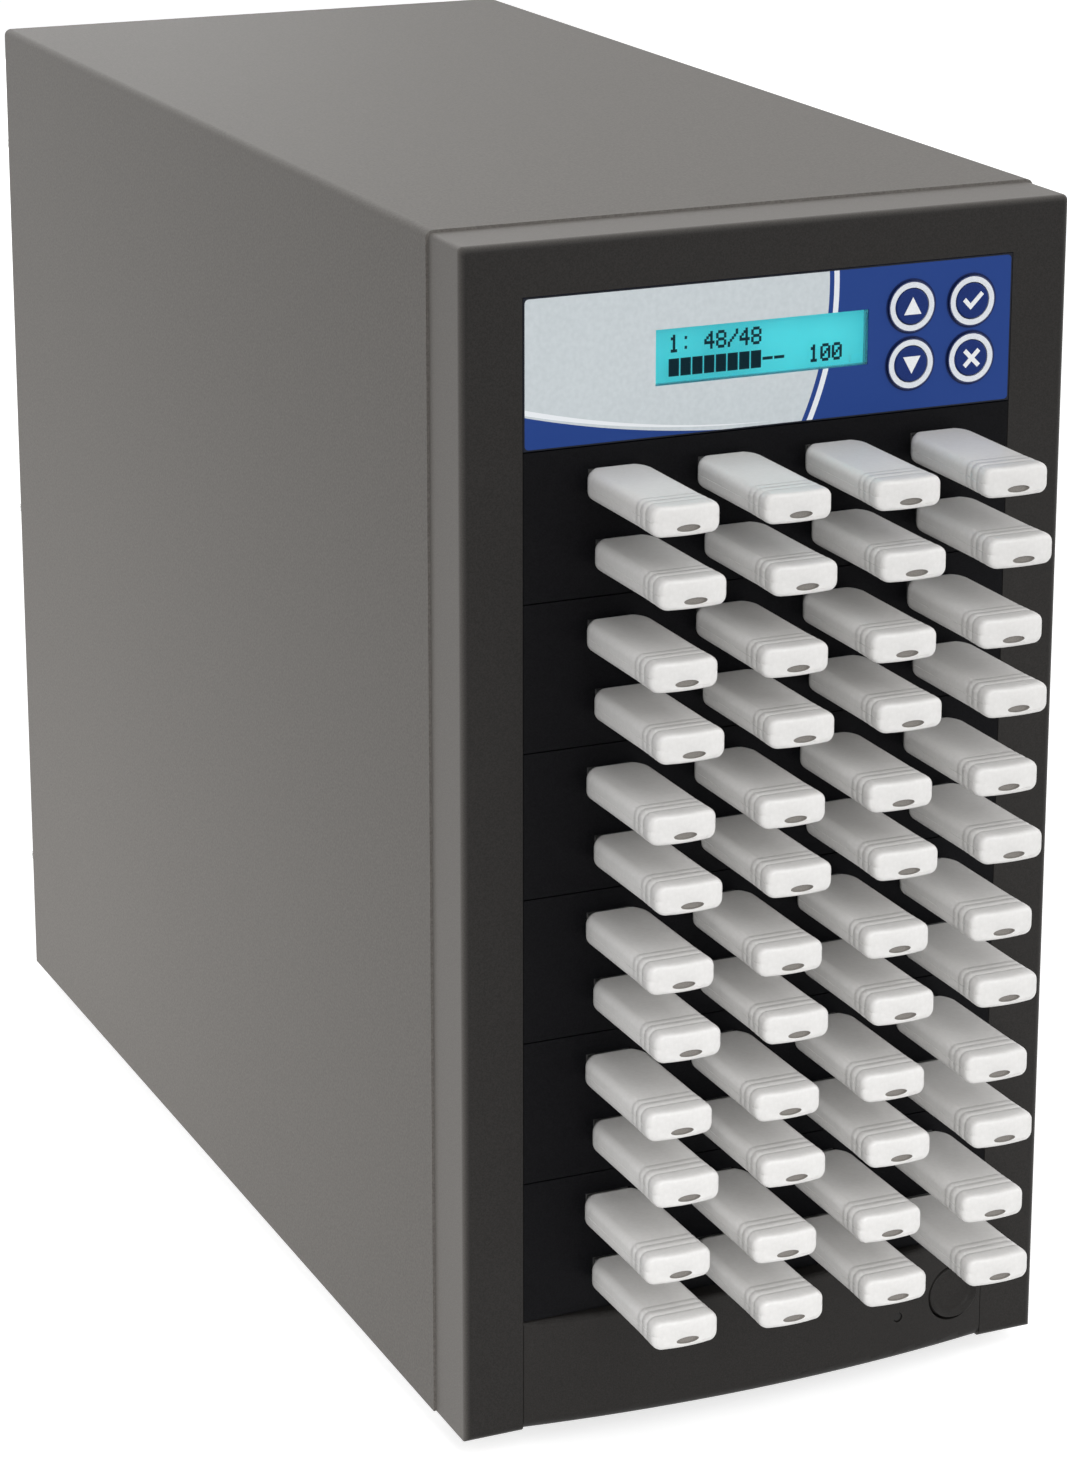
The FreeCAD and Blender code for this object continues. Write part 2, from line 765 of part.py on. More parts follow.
# ---- power supply and fans ----
def supply_screw_places():
    x = (supply_width - supply_rim_x) / 2
    z = supply_height / 2 - supply_screw_drop
    return [(sx * x, supply_z + sz * z) for sx in (-1, 1) for sz in (-1, 1)]


def fan_screw_places(x, z):
    reach = fan_hole_spacing / 2
    return [(x + sx * reach, z + sz * reach) for sx in (-1, 1) for sz in (-1, 1)]


def inlet_place():
    return inlet_x, supply_z - inlet_drop


def rocker_place():
    return rocker_x, supply_z + rocker_rise


def supply_case():
    """Folded steel box with the fan's opening, the inlet's and the rocker's cut-outs in its back."""
    front = panel_y - supply_length
    shell = plate(supply_width, supply_height, 0, supply_z, front, panel_y)
    inner = plate(supply_width - 2 * supply_sheet, supply_height - 2 * supply_sheet, 0, supply_z,
                  front + supply_sheet, panel_y - supply_sheet)
    wall = panel_y - supply_sheet
    play = 2 * cutout_clearance
    x, z = inlet_place()
    cuts = [inner, rod(fan_duct_radius, supply_fan_x, supply_z, wall, panel_y),
            plate(inlet_width + play, inlet_height + play, x, z, wall, panel_y)]
    x, z = rocker_place()
    body_width = rocker_width + 2 * (rocker_wall + rocker_clearance)
    body_height = rocker_height + 2 * (rocker_wall + rocker_clearance)
    cuts.append(plate(body_width + play, body_height + play, x, z, wall, panel_y))
    for x, z in supply_screw_places() + fan_screw_places(supply_fan_x, supply_z):
        cuts.append(rod(fan_screw_radius, x, z, wall, panel_y))
    return shell.cut(cuts)


def mains_inlet():
    """Three-pin appliance inlet: a flanged socket body, open behind."""
    x, z = inlet_place()
    mouth_y = panel_y + inlet_flange
    body = plate(inlet_width, inlet_height, x, z, panel_y - inlet_depth, mouth_y)
    flange = plate(inlet_width + 2 * inlet_wall, inlet_height + 2 * inlet_wall, x, z, panel_y, mouth_y)
    cavity = plate(inlet_width - 2 * inlet_wall, inlet_height - 2 * inlet_wall, x, z,
                   mouth_y - inlet_cavity, mouth_y)
    low_corners = edges_where(cavity, lambda b: along_y(b) and b.ZMax < z)
    cavity = cavity.makeChamfer(2 * inlet_wall, low_corners)
    return union([body, flange]).cut(cavity)


def inlet_pins():
    x, z = inlet_place()
    mouth_y = panel_y + inlet_flange
    places = [(-pin_spacing / 2, -pin_offset), (0, pin_offset), (pin_spacing / 2, -pin_offset)]
    return [plate(pin_width, pin_height, x + dx, z + dz, mouth_y - inlet_cavity, mouth_y - pin_recess)
            for dx, dz in places]


def rocker_housing():
    """Switch body in the supply's back, with a bearing hole for the rocker on each side."""
    x, z = rocker_place()
    width = rocker_width + 2 * (rocker_wall + rocker_clearance)
    height = rocker_height + 2 * (rocker_wall + rocker_clearance)
    back = panel_y - rocker_body_depth
    mouth_y = panel_y + rocker_flange
    body = plate(width, height, x, z, back, mouth_y)
    flange = plate(width + 2 * rocker_wall, height + 2 * rocker_wall, x, z, panel_y, mouth_y)
    cavity = plate(width - 2 * rocker_wall, height - 2 * rocker_wall, x, z, back + rocker_wall, mouth_y)
    reach = width / 2 - rocker_wall / 2
    bearing = Part.makeCylinder(rocker_pin_radius + rocker_pin_clearance, 2 * reach,
                                FreeCAD.Vector(x - reach, panel_y - rocker_height / 4, z),
                                FreeCAD.Vector(1, 0, 0))
    return union([body, flange]).cut([cavity, bearing])


def rocker_switch():
    """Rocker with two slanted faces, tipped to its on side at rest, on a pin that reaches both bearings."""
    x, z = rocker_place()
    pivot_y = panel_y - rocker_height / 4
    half = rocker_height / 2
    crown = pivot_y + rocker_height / 4 + rocker_flange + rocker_crown
    rise = half * math.tan(math.radians(rocker_angle))
    back_y = pivot_y - rocker_height / 4
    left = x - rocker_width / 2
    outline = [FreeCAD.Vector(left, back_y, z - half), FreeCAD.Vector(left, crown + rise, z - half),
               FreeCAD.Vector(left, crown, z), FreeCAD.Vector(left, crown + rise, z + half),
               FreeCAD.Vector(left, back_y, z + half)]
    body = flat_face(outline).extrude(FreeCAD.Vector(rocker_width, 0, 0))
    reach = rocker_width / 2 + rocker_clearance + rocker_wall / 2 - 2 * rocker_pin_clearance
    pin = Part.makeCylinder(rocker_pin_radius, 2 * reach, FreeCAD.Vector(x - reach, pivot_y, z),
                            FreeCAD.Vector(1, 0, 0))
    rocker = body.fuse(pin)
    rocker.rotate(FreeCAD.Vector(x, pivot_y, z), FreeCAD.Vector(1, 0, 0), rocker_angle)
    return rocker


def fan_frame(x, z, back):
    """Square fan frame with a round duct and a motor disc on four arms at its outlet."""
    front = back - fan_depth
    body = plate(fan_size, fan_size, x, z, front, back)
    body = body.makeFillet(fan_corner_radius, edges_where(body, along_y))
    duct = rod(fan_duct_radius, x, z, front, back)
    motor_y = back - fan_motor_depth
    disc = rod(fan_hub_radius, x, z, motor_y, back)
    reach = fan_duct_radius + weld
    arms = [plate(2 * reach, fan_arm_width, x, z, motor_y, back),
            plate(fan_arm_width, 2 * reach, x, z, motor_y, back)]
    bore = rod(fan_shaft_radius + fan_shaft_clearance, x, z, motor_y, back)
    holes = [rod(fan_hole_radius, hx, hz, front, back) for hx, hz in fan_screw_places(x, z)]
    return union([body.cut(duct), disc] + arms).cut([bore] + holes)


def fan_rotor(x, z, back):
    """Hub with pitched blades and a shaft that runs in the frame's motor disc."""
    front = back - fan_depth + fan_running_gap
    hub_back = back - fan_motor_depth - fan_running_gap
    hub = rod(fan_hub_radius, x, z, front, hub_back)
    hub = hub.makeChamfer(fan_blade_thickness, edges_where(hub, lambda b: at_front(b, front)))
    tip_radius = fan_duct_radius - fan_tip_gap
    middle_y = (front + hub_back) / 2
    sweep = rod(tip_radius, x, z, front, hub_back)
    blades = []
    for index in range(fan_blades):
        blade = box(fan_hub_radius - weld, tip_radius + weld, -fan_blade_chord / 2, fan_blade_chord / 2,
                    -fan_blade_thickness / 2, fan_blade_thickness / 2)
        blade.rotate(FreeCAD.Vector(0, 0, 0), FreeCAD.Vector(1, 0, 0), 90 - fan_blade_pitch)
        blade.translate(FreeCAD.Vector(x, middle_y, z))
        blade.rotate(FreeCAD.Vector(x, middle_y, z), FreeCAD.Vector(0, 1, 0), index * 360 / fan_blades)
        blades.append(blade.common(sweep))
    shaft = rod(fan_shaft_radius, x, z, hub_back - weld, back - fan_running_gap)
    return union([hub, shaft] + blades)


def fan_guard(x, z, y):
    """Wire guard: rings on two crossed bars that end in eyes over the fan's screw holes."""
    half_wire = guard_wire / 2
    rings = []
    for index in range(guard_rings):
        radius = fan_duct_radius - guard_edge - index * guard_ring_pitch
        rings.append(rod(radius + half_wire, x, z, y + guard_wire, y + 2 * guard_wire).cut(
            rod(radius - half_wire, x, z, y + guard_wire, y + 2 * guard_wire)))
    reach = fan_hole_spacing / 2 * math.sqrt(2)
    bars = []
    for angle in (45, 135):
        bar = plate(2 * reach, guard_wire, x, z, y, y + guard_wire)
        bar.rotate(FreeCAD.Vector(x, y, z), FreeCAD.Vector(0, 1, 0), angle)
        bars.append(bar)
    eyes = [rod(fan_hole_radius + guard_wire, hx, hz, y, y + guard_wire) for hx, hz in fan_screw_places(x, z)]
    holes = [rod(fan_screw_radius, hx, hz, y, y + guard_wire) for hx, hz in fan_screw_places(x, z)]
    return union(rings + bars + eyes).cut(holes)


def hexagon(radius, x, y, z):
    """Closed six-sided section across Y."""
    angles = [math.radians(60 * index) for index in range(6)]
    return [FreeCAD.Vector(x + radius * math.cos(a), y, z + radius * math.sin(a)) for a in angles]


def headed_screw(x, z, seat, head_radius, head_height, shank_radius, length):
    """Hexagon-headed screw driven in from behind: its head sits on the seat and its shank runs forward."""
    head = faceted([hexagon(head_radius, x, y, z) for y in (seat, seat + head_height)])
    return head.fuse(rod(shank_radius, x, z, seat - length, seat))


def fan_screws():
    seats = [(x, z, panel_y + chassis_sheet) for x, z in supply_screw_places()]
    seats += [(x, z, panel_y + chassis_sheet) for x, z in fan_screw_places(0, exhaust_z)]
    seats += [(x, z, panel_y + guard_wire) for x, z in fan_screw_places(supply_fan_x, supply_z)]
    return [headed_screw(x, z, seat, screw_head_radius, screw_head_height,
                         fan_screw_radius - screw_clearance, screw_length)
            for x, z, seat in seats]


def cover_screws():
    shank_radius = thumb_shank_radius - screw_clearance
    return [headed_screw(x, z, cover_back, thumb_radius, thumb_height, shank_radius, thumb_length)
            for x, z in thumb_places()]


# ---- assembly ----
add("outer_cover", outer_cover())
add("base_pan", base_pan())
add("feet", group(foot(x, y) for x, y in foot_places()))
add("front_frame", front_frame())
add("bay_rail_left", bay_rail(-1))
add("bay_rail_right", bay_rail(1))
add("rear_panel", rear_panel())
add("front_bezel", front_bezel())
add("chin_panel", chin_panel())
add("light_pipes", group(light_pipe(height) for height in light_heights))
add("power_button", power_button())
add("power_switch", power_switch())
add("control_panel", control_panel())
add("panel_overlay", panel_overlay())
add("lcd_window", lcd_window())
add("lcd_module", lcd_module())
add("controller_board", bay_board(0))
add("key_switches", group(key_switch(x, z) for x, z in key_places().values()))
for key_name, (key_x, key_z) in key_places().items():
    add(key_name, key_cap(key_x, key_z))
add("bay_trays", group(bay_tray(bay) for bay in range(bay_count)))
add("hub_boards", group(bay_board(bay) for bay in range(1, bay_count)))
for usb_bay in range(1, bay_count):
    add("usb_faceplate_%d" % usb_bay, usb_faceplate(usb_bay))
add("usb_sockets", group(usb_socket(x, z) for _, shift, z in port_rows() for x in port_xs(shift)))
for row_number, (_, row_shift, row_z) in enumerate(port_rows(), 1):
    row_sticks = [usb_stick(x, row_z) for x in port_xs(row_shift)]
    if row_number <= single_stick_rows:
        for column_number, stick in enumerate(row_sticks, 1):
            add("usb_stick_%d_%d" % (row_number, column_number), stick)
    else:
        add("usb_sticks_row_%02d" % row_number, group(row_sticks))
add("supply_case", supply_case())
add("mains_inlet", mains_inlet())
add("inlet_pins", group(inlet_pins()))
add("rocker_housing", rocker_housing())
add("rocker_switch", rocker_switch())
add("supply_fan_frame", fan_frame(supply_fan_x, supply_z, panel_y - supply_sheet))
add("supply_fan_rotor", fan_rotor(supply_fan_x, supply_z, panel_y - supply_sheet))
add("supply_fan_guard", fan_guard(supply_fan_x, supply_z, panel_y))
add("exhaust_fan_frame", fan_frame(0, exhaust_z, panel_y))
add("exhaust_fan_rotor", fan_rotor(0, exhaust_z, panel_y))
add("fan_screws", group(fan_screws()))
add("cover_screws", group(cover_screws()))

os.makedirs("parts", exist_ok=True)
for node, shape in parts.items():
    shape.exportStep("parts/" + node + ".step")
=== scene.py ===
import bpy
import bmesh
import math
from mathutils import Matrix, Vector


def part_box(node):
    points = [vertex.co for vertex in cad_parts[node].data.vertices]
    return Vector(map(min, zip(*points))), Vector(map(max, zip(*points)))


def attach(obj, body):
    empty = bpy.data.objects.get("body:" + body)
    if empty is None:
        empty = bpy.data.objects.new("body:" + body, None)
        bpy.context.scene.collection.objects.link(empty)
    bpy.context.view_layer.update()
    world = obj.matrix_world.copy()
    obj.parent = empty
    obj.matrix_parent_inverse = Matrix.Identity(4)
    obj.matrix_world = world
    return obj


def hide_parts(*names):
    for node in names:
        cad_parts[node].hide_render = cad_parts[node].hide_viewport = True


# Looks of the drive duplicator. Metres, in the part's frame: +X right, +Y back, +Z up, front towards -Y.
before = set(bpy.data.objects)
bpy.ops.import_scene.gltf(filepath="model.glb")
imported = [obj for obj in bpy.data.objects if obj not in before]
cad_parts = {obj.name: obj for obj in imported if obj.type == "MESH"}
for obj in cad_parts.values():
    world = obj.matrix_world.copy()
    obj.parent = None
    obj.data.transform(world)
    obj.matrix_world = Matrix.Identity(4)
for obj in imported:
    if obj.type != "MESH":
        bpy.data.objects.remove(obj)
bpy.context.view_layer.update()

MM = 0.001
scene = bpy.context.scene
scene.view_settings.view_transform = "Standard"


# ---------------------------------------------------------------- nodes and materials
# Places of the colour sockets among a Mix node's sockets, which have the same names in its other modes
MIX_FIRST = 6
MIX_SECOND = 7
MIX_RESULT = 2


class Shader:
    """A material's node tree, with short calls to add and join nodes."""

    def __init__(self, name):
        self.material = bpy.data.materials.new(name)
        self.material.use_nodes = True
        self.tree = self.material.node_tree
        self.surface = self.tree.nodes["Principled BSDF"]
        self.position = None
        self.split = None

    def add(self, kind, **inputs):
        """A new node, with values for its inputs."""
        node = self.tree.nodes.new(kind)
        for key, value in inputs.items():
            node.inputs[key.replace("_", " ")].default_value = value
        return node

    def link(self, output, target):
        """Joins an output to an input."""
        self.tree.links.new(output, target)

    def set(self, **inputs):
        """Values of the surface's own sockets."""
        for key, value in inputs.items():
            self.surface.inputs[key.replace("_", " ")].default_value = value

    def where(self):
        """Position in the piece's own axes, which for a CAD node are the part's."""
        if self.position is None:
            self.position = self.add("ShaderNodeTexCoord").outputs["Object"]
        return self.position

    def axis(self, letter):
        """One coordinate of the position: X, Y or Z."""
        if self.split is None:
            self.split = self.add("ShaderNodeSeparateXYZ")
            self.link(self.where(), self.split.inputs["Vector"])
        return self.split.outputs[letter]

    def noise(self, scale, detail, stretch=None):
        """Noise with so many cells in a metre."""
        node = self.add("ShaderNodeTexNoise", Scale=scale, Detail=detail)
        source = self.where()
        if stretch is not None:
            mapping = self.add("ShaderNodeMapping", Scale=stretch)
            self.link(source, mapping.inputs["Vector"])
            source = mapping.outputs["Vector"]
        self.link(source, node.inputs["Vector"])
        return node.outputs["Fac"]

    def ramp(self, value, *stops):
        """Colours at places along a value, as (place, colour) pairs."""
        node = self.add("ShaderNodeValToRGB")
        points = node.color_ramp.elements
        while len(points) < len(stops):
            points.new(0.5)
        for point, (position, colour) in zip(points, stops):
            point.position = position
            point.color = (*colour, 1.0)
        self.link(value, node.inputs["Fac"])
        return node.outputs["Color"]

    def math(self, operation, *values):
        """Result of one operation on numbers or outputs."""
        node = self.tree.nodes.new("ShaderNodeMath")
        node.operation = operation
        for slot, value in zip(node.inputs, values):
            if isinstance(value, (int, float)):
                slot.default_value = value
            else:
                self.link(value, slot)
        return node.outputs["Value"]

    def length(self, along, across):
        """Straight distance of a point that lies so far along and so far across."""
        squares = self.math("ADD", self.math("MULTIPLY", along, along), self.math("MULTIPLY", across, across))
        return self.math("SQRT", squares)

    def mix(self, share, first, second):
        """First colour where the share is 0, second where it is 1. A colour is an output or a tuple."""
        node = self.tree.nodes.new("ShaderNodeMix")
        node.data_type = "RGBA"
        self.link(share, node.inputs["Factor"])
        for place_in_node, colour in ((MIX_FIRST, first), (MIX_SECOND, second)):
            if isinstance(colour, tuple):
                node.inputs[place_in_node].default_value = (*colour, 1.0)
            else:
                self.link(colour, node.inputs[place_in_node])
        return node.outputs[MIX_RESULT]

    def colour(self, source):
        """Base colour of the surface, from an output."""
        self.link(source, self.surface.inputs["Base Color"])

    def roughness(self, value, low, high):
        """Roughness that goes from low to high as the value goes from 0 to 1."""
        node = self.add("ShaderNodeMapRange")
        node.inputs["To Min"].default_value = low
        node.inputs["To Max"].default_value = high
        self.link(value, node.inputs["Value"])
        self.link(node.outputs["Result"], self.surface.inputs["Roughness"])

    def bump(self, height, strength, distance):
        """Small relief of the surface, from a height."""
        node = self.add("ShaderNodeBump", Strength=strength, Distance=distance)
        self.link(height, node.inputs["Height"])
        self.link(node.outputs["Normal"], self.surface.inputs["Normal"])


# Noise scales, in cells per metre
MOULD_GRAIN = 2600
COAT_GRAIN = 1500
COAT_CLOUD = 9
STICK_GRAIN = 900
FILM_GRAIN = 700
SHEET_STREAK = 420
# Painted light: the bezel's rim catches more light than its front, so it is painted as light as the cover's
# coat. The colour turns from the front's tone to that painted light over this depth, from just behind its
# front plane
PAINTED_LIGHT_START = 0.1 * MM
PAINTED_LIGHT_DEPTH = 2.3 * MM


def powder_coat():
    """Fine dark powder coat on steel."""
    s = Shader("powder_coat")
    grain = s.noise(COAT_GRAIN, 3)
    cloud = s.noise(COAT_CLOUD, 2)
    base = s.ramp(grain, (0.3, (0.114, 0.106, 0.097)), (0.7, (0.184, 0.173, 0.16)))
    s.colour(s.mix(s.math("MULTIPLY", cloud, 0.25), base, (0.164, 0.155, 0.144)))
    s.set(Specular_IOR_Level=0.17)
    s.roughness(grain, 0.45, 0.62)
    s.bump(grain, 0.3, 0.2 * MM)
    return s.material


def charcoal_plastic(name, painted_light_rim):
    """Charcoal moulded plastic. With painted light, the rim that meets the cover is painted as light as the
    cover's coat, for the light its sides and top catch and its front does not.
    """
    s = Shader(name)
    grain = s.noise(MOULD_GRAIN, 2)
    tone = s.ramp(grain, (0.35, (0.018, 0.0168, 0.0158)), (0.65, (0.026, 0.0243, 0.0229)))
    if painted_light_rim:
        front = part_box("front_bezel")[0].y
        behind = s.math("SUBTRACT", s.axis("Y"), front + PAINTED_LIGHT_START)
        rim = s.math("MINIMUM", s.math("MAXIMUM", s.math("DIVIDE", behind, PAINTED_LIGHT_DEPTH), 0.0), 1.0)
        # painted light: the rim gets the lit cover's tone, though it is the same plastic as the dark front
        coat = s.ramp(grain, (0.35, (0.158, 0.148, 0.138)), (0.65, (0.194, 0.184, 0.172)))
        tone = s.mix(rim, tone, coat)
    s.colour(tone)
    s.set(Specular_IOR_Level=0.12)
    s.roughness(grain, 0.4, 0.52)
    s.bump(grain, 0.2, 0.1 * MM)
    return s.material


def moulded(name, dark, light, low=0.36, high=0.5, scale=MOULD_GRAIN, strength=0.2, specular=0.5):
    """Moulded plastic with a fine even texture. Low and high are the limits of its roughness."""
    s = Shader(name)
    s.set(Specular_IOR_Level=specular)
    grain = s.noise(scale, 2)
    s.colour(s.ramp(grain, (0.35, dark), (0.65, light)))
    s.roughness(grain, low, high)
    s.bump(grain, strength, 0.1 * MM)
    return s.material


def plated(name, dark, light, low, high, scale=120, stretch=None):
    """Plated sheet or wire, faintly streaked. Low and high are the limits of its roughness."""
    s = Shader(name)
    streak = s.noise(scale, 4, stretch)
    s.set(Metallic=1.0)
    s.colour(s.ramp(streak, (0.3, dark), (0.7, light)))
    s.roughness(streak, low, high)
    return s.material


def stick_plastic():
    """Off-white moulded plastic with a soft shine."""
    s = Shader("stick_plastic")
    grain = s.noise(STICK_GRAIN, 2)
    s.colour(s.ramp(grain, (0.3, (0.725, 0.715, 0.7)), (0.7, (0.765, 0.755, 0.742))))
    s.roughness(grain, 0.26, 0.36)
    s.bump(grain, 0.02, 0.1 * MM)
    return s.material


POWDER = powder_coat()
# the bezel's rim gets painted light; the chin has none
BEZEL = charcoal_plastic("bezel_plastic", painted_light_rim=True)
CHIN = charcoal_plastic("chin_plastic", painted_light_rim=False)
BAY = moulded("bay_plastic", (0.0048, 0.0048, 0.0055), (0.0075, 0.0075, 0.0085), 0.34, 0.44, specular=0.04)
BLACK = moulded("black_plastic", (0.012, 0.012, 0.012), (0.02, 0.02, 0.02), 0.35, 0.5)
KEY = moulded("key_plastic", (0.0075, 0.023, 0.13), (0.0105, 0.031, 0.16), 0.32, 0.42, specular=0.12)
SMOKED = moulded("smoked_lens", (0.013, 0.012, 0.0115), (0.017, 0.016, 0.015), 0.3, 0.4, specular=0.2)
RUBBER = moulded("foot_rubber", (0.012, 0.012, 0.012), (0.02, 0.02, 0.02), 0.6, 0.8, 1200, 0.4)
BOARD = moulded("board_mask", (0.008, 0.06, 0.025), (0.012, 0.085, 0.035), 0.25, 0.4)
STICK = stick_plastic()
# mid-grey painted shade for the inside of the keyring holes
HOLE_PAINTED_SHADE = moulded("hole_painted_shade", (0.2, 0.185, 0.17), (0.25, 0.235, 0.215), 0.5, 0.6)
MARK = moulded("white_mark", (0.78, 0.8, 0.82), (0.84, 0.86, 0.88), 0.35, 0.45)
INK = moulded("display_ink", (0.004, 0.028, 0.042), (0.006, 0.036, 0.052), 0.4, 0.5, specular=0.1)
STEEL = plated("plated_sheet", (0.335, 0.335, 0.33), (0.4, 0.4, 0.395), 0.26, 0.38, SHEET_STREAK,
               stretch=(1, 1, 0.06))
PLUG = plated("plug_steel", (0.6, 0.6, 0.59), (0.7, 0.7, 0.69), 0.34, 0.46)
SOCKET = plated("socket_steel", (0.09, 0.09, 0.09), (0.13, 0.13, 0.13), 0.3, 0.45)
WIRE = plated("plated_wire", (0.44, 0.44, 0.44), (0.56, 0.56, 0.56), 0.16, 0.3)

NODE_MATERIALS = {
    "outer_cover": POWDER, "front_bezel": BEZEL, "chin_panel": CHIN, "power_button": CHIN,
    "feet": RUBBER, "controller_board": BOARD, "hub_boards": BOARD,
    "supply_fan_guard": WIRE, "usb_sockets": SOCKET, "inlet_pins": PLUG,
    "key_up": KEY, "key_down": KEY, "key_enter": KEY, "key_back": KEY, "light_pipes": SMOKED,
}
BLACK_NODES = ("key_switches", "power_switch", "mains_inlet", "rocker_housing", "rocker_switch",
               "supply_fan_frame", "supply_fan_rotor", "exhaust_fan_frame", "exhaust_fan_rotor")


def material_for(node):
    """Material of a CAD node. The rest, which are sheet metal, get plated steel."""
    if node in NODE_MATERIALS:
        return NODE_MATERIALS[node]
    if node.startswith("usb_faceplate"):
        return BAY
    if node.startswith("usb_stick"):
        return STICK
    if node in BLACK_NODES:
        return BLACK
    return STEEL


for node_name, node_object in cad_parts.items():
    node_object.data.materials.clear()
    node_object.data.materials.append(material_for(node_name))


# ---------------------------------------------------------------- mesh helpers
# Edges that turn by more than this stay sharp
SHARP_ANGLE = math.radians(35)


def smooth_mesh(name, mesh, materials):
    """Turns a bmesh into smooth-shaded mesh data."""
    bmesh.ops.recalc_face_normals(mesh, faces=mesh.faces)
    data = bpy.data.meshes.new(name)
    mesh.to_mesh(data)
    mesh.free()
    data.shade_smooth()
    data.set_sharp_from_angle(angle=SHARP_ANGLE)
    for material in materials:
        data.materials.append(material)
    return data


def place(name, data, body, offset=(0, 0, 0)):
    """Adds mesh data to the scene as a piece that rides on a body."""
    piece = bpy.data.objects.new(name, data)
    scene.collection.objects.link(piece)
    piece.location = offset
    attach(piece, body)
    return piece


def finish_mesh(name, mesh, body, materials):
    """Adds a bmesh to the scene as a smooth-shaded piece that rides on a body."""
    return place(name, smooth_mesh(name, mesh, materials), body)


def add_face(mesh, corners, material=0):
    """Adds one face of its own through the corners."""
    mesh.faces.new([mesh.verts.new(corner) for corner in corners]).material_index = material


def rounded_rectangle(half_width, half_height, radius, y, corner_points=7):
    """Points round a rectangle with round corners, across Y, anticlockwise from the lower right corner."""
    points = []
    for sx, sz, start in ((1, -1, -90), (1, 1, 0), (-1, 1, 90), (-1, -1, 180)):
        centre_x = sx * (half_width - radius)
        centre_z = sz * (half_height - radius)
        for index in range(corner_points):
            angle = math.radians(start + 90 * index / (corner_points - 1))
            points.append((centre_x + radius * math.cos(angle), y, centre_z + radius * math.sin(angle)))
    return points


def loft(mesh, rings, material=0, close_first=False, close_last=False):
    """Skins rings of equally many points with quads, and caps the ends asked for."""
    loops = [[mesh.verts.new(point) for point in ring] for ring in rings]
    for near, far in zip(loops, loops[1:]):
        for index in range(len(near)):
            after = (index + 1) % len(near)
            mesh.faces.new((near[index], near[after], far[after], far[index])).material_index = material
    if close_first:
        mesh.faces.new(loops[0]).material_index = material
    if close_last:
        mesh.faces.new(loops[-1]).material_index = material
    return loops


def axis_of(low, high):
    """X and Z of the axis along Y through the middle of a box."""
    return (low.x + high.x) / 2, (low.z + high.z) / 2


# ---------------------------------------------------------------- USB sticks
STICK_WIDTH = 19.8 * MM
STICK_HEIGHT = 8.4 * MM
STICK_CORNER = 2.6 * MM
LEAST_CORNER = 0.6 * MM
STICK_GAP = 1.5 * MM
SEAM_HALF = 0.14 * MM
SEAM_DEPTH = 0.12 * MM
# places of the points that the upper and lower faces have between their corners, in shares of the width
FACE_SHARES = (0.5, 0.25, 0.0, -0.25, -0.5)
# (distance from the tip, inset from the cap's size, forward bow) of a stick's sections, in millimetres:
# the rounded tip, two grip bands between three shallow grooves, and the start of the body
STICK_SECTIONS = (
    (1.4, 1.2, 1.4), (1.5, 0.75, 1.4), (1.7, 0.42, 1.4), (2.05, 0.18, 1.3), (2.6, 0.03, 1.1), (3.4, 0.0, 0.6),
    (4.6, 0.0, 0.0), (5.4, 0.04, 0.0), (5.8, 0.22, 0.0), (6.2, 0.22, 0.0), (6.7, 0.09, 0.0), (8.7, 0.1, 0.0),
    (9.1, 0.27, 0.0), (9.5, 0.27, 0.0), (10.0, 0.17, 0.0), (11.5, 0.18, 0.0), (11.9, 0.3, 0.0),
    (12.3, 0.3, 0.0), (12.8, 0.22, 0.0))
BODY_INSET = 0.22 * MM
# the back is round in plan, and its upper and lower edges are only broken
BACK_LENGTH = 5.5 * MM
BACK_INSET = 5.0 * MM
BACK_STEPS = 10
BACK_EDGE = 0.8 * MM
BACK_EDGE_SHARE = 0.15
# the keyring hole in the tip, and its rings as (share of its size, depth in millimetres, material); material
# 1, on its inner wall and floor, is a mid-grey painted shade for the shade inside the hole
HOLE_HALF_WIDTH = 3.4 * MM
HOLE_HALF_HEIGHT = 0.95 * MM
HOLE_Z = -1.9 * MM
HOLE_RINGS = ((1.12, 0.08, 0), (1.0, 0.14, 0), (0.97, 0.3, 1), (0.9, 0.8, 1))

PLUG_WIDTH = 12.0 * MM
PLUG_HEIGHT = 4.5 * MM
PLUG_WALL = 0.3 * MM
PLUG_CORNER = 0.5 * MM
PLUG_CORNER_POINTS = 4
# the plug starts this far inside the body's back
PLUG_OVERLAP = 0.5 * MM
PLUG_LIP = 0.2 * MM
PLUG_LIP_INSET = 0.12 * MM
PLUG_LIP_CORNER = 0.42 * MM
PLUG_DEPTH = 8 * MM
PLUG_BORE_CORNER = 0.25 * MM
# the contact carrier in the plug's bore
CARRIER_HALF_HEIGHT = 0.95 * MM
CARRIER_DROP = 0.98 * MM
CARRIER_GAP = 0.05 * MM
CARRIER_CORNER = 0.1 * MM
CARRIER_FROM_BOTTOM = 0.1 * MM
CARRIER_FROM_END = 0.4 * MM
WINDOW_X = 2.3 * MM
WINDOW_FROM_END = 6 * MM
WINDOW_HALF = 1.15 * MM
WINDOW_LIFT = 0.01 * MM


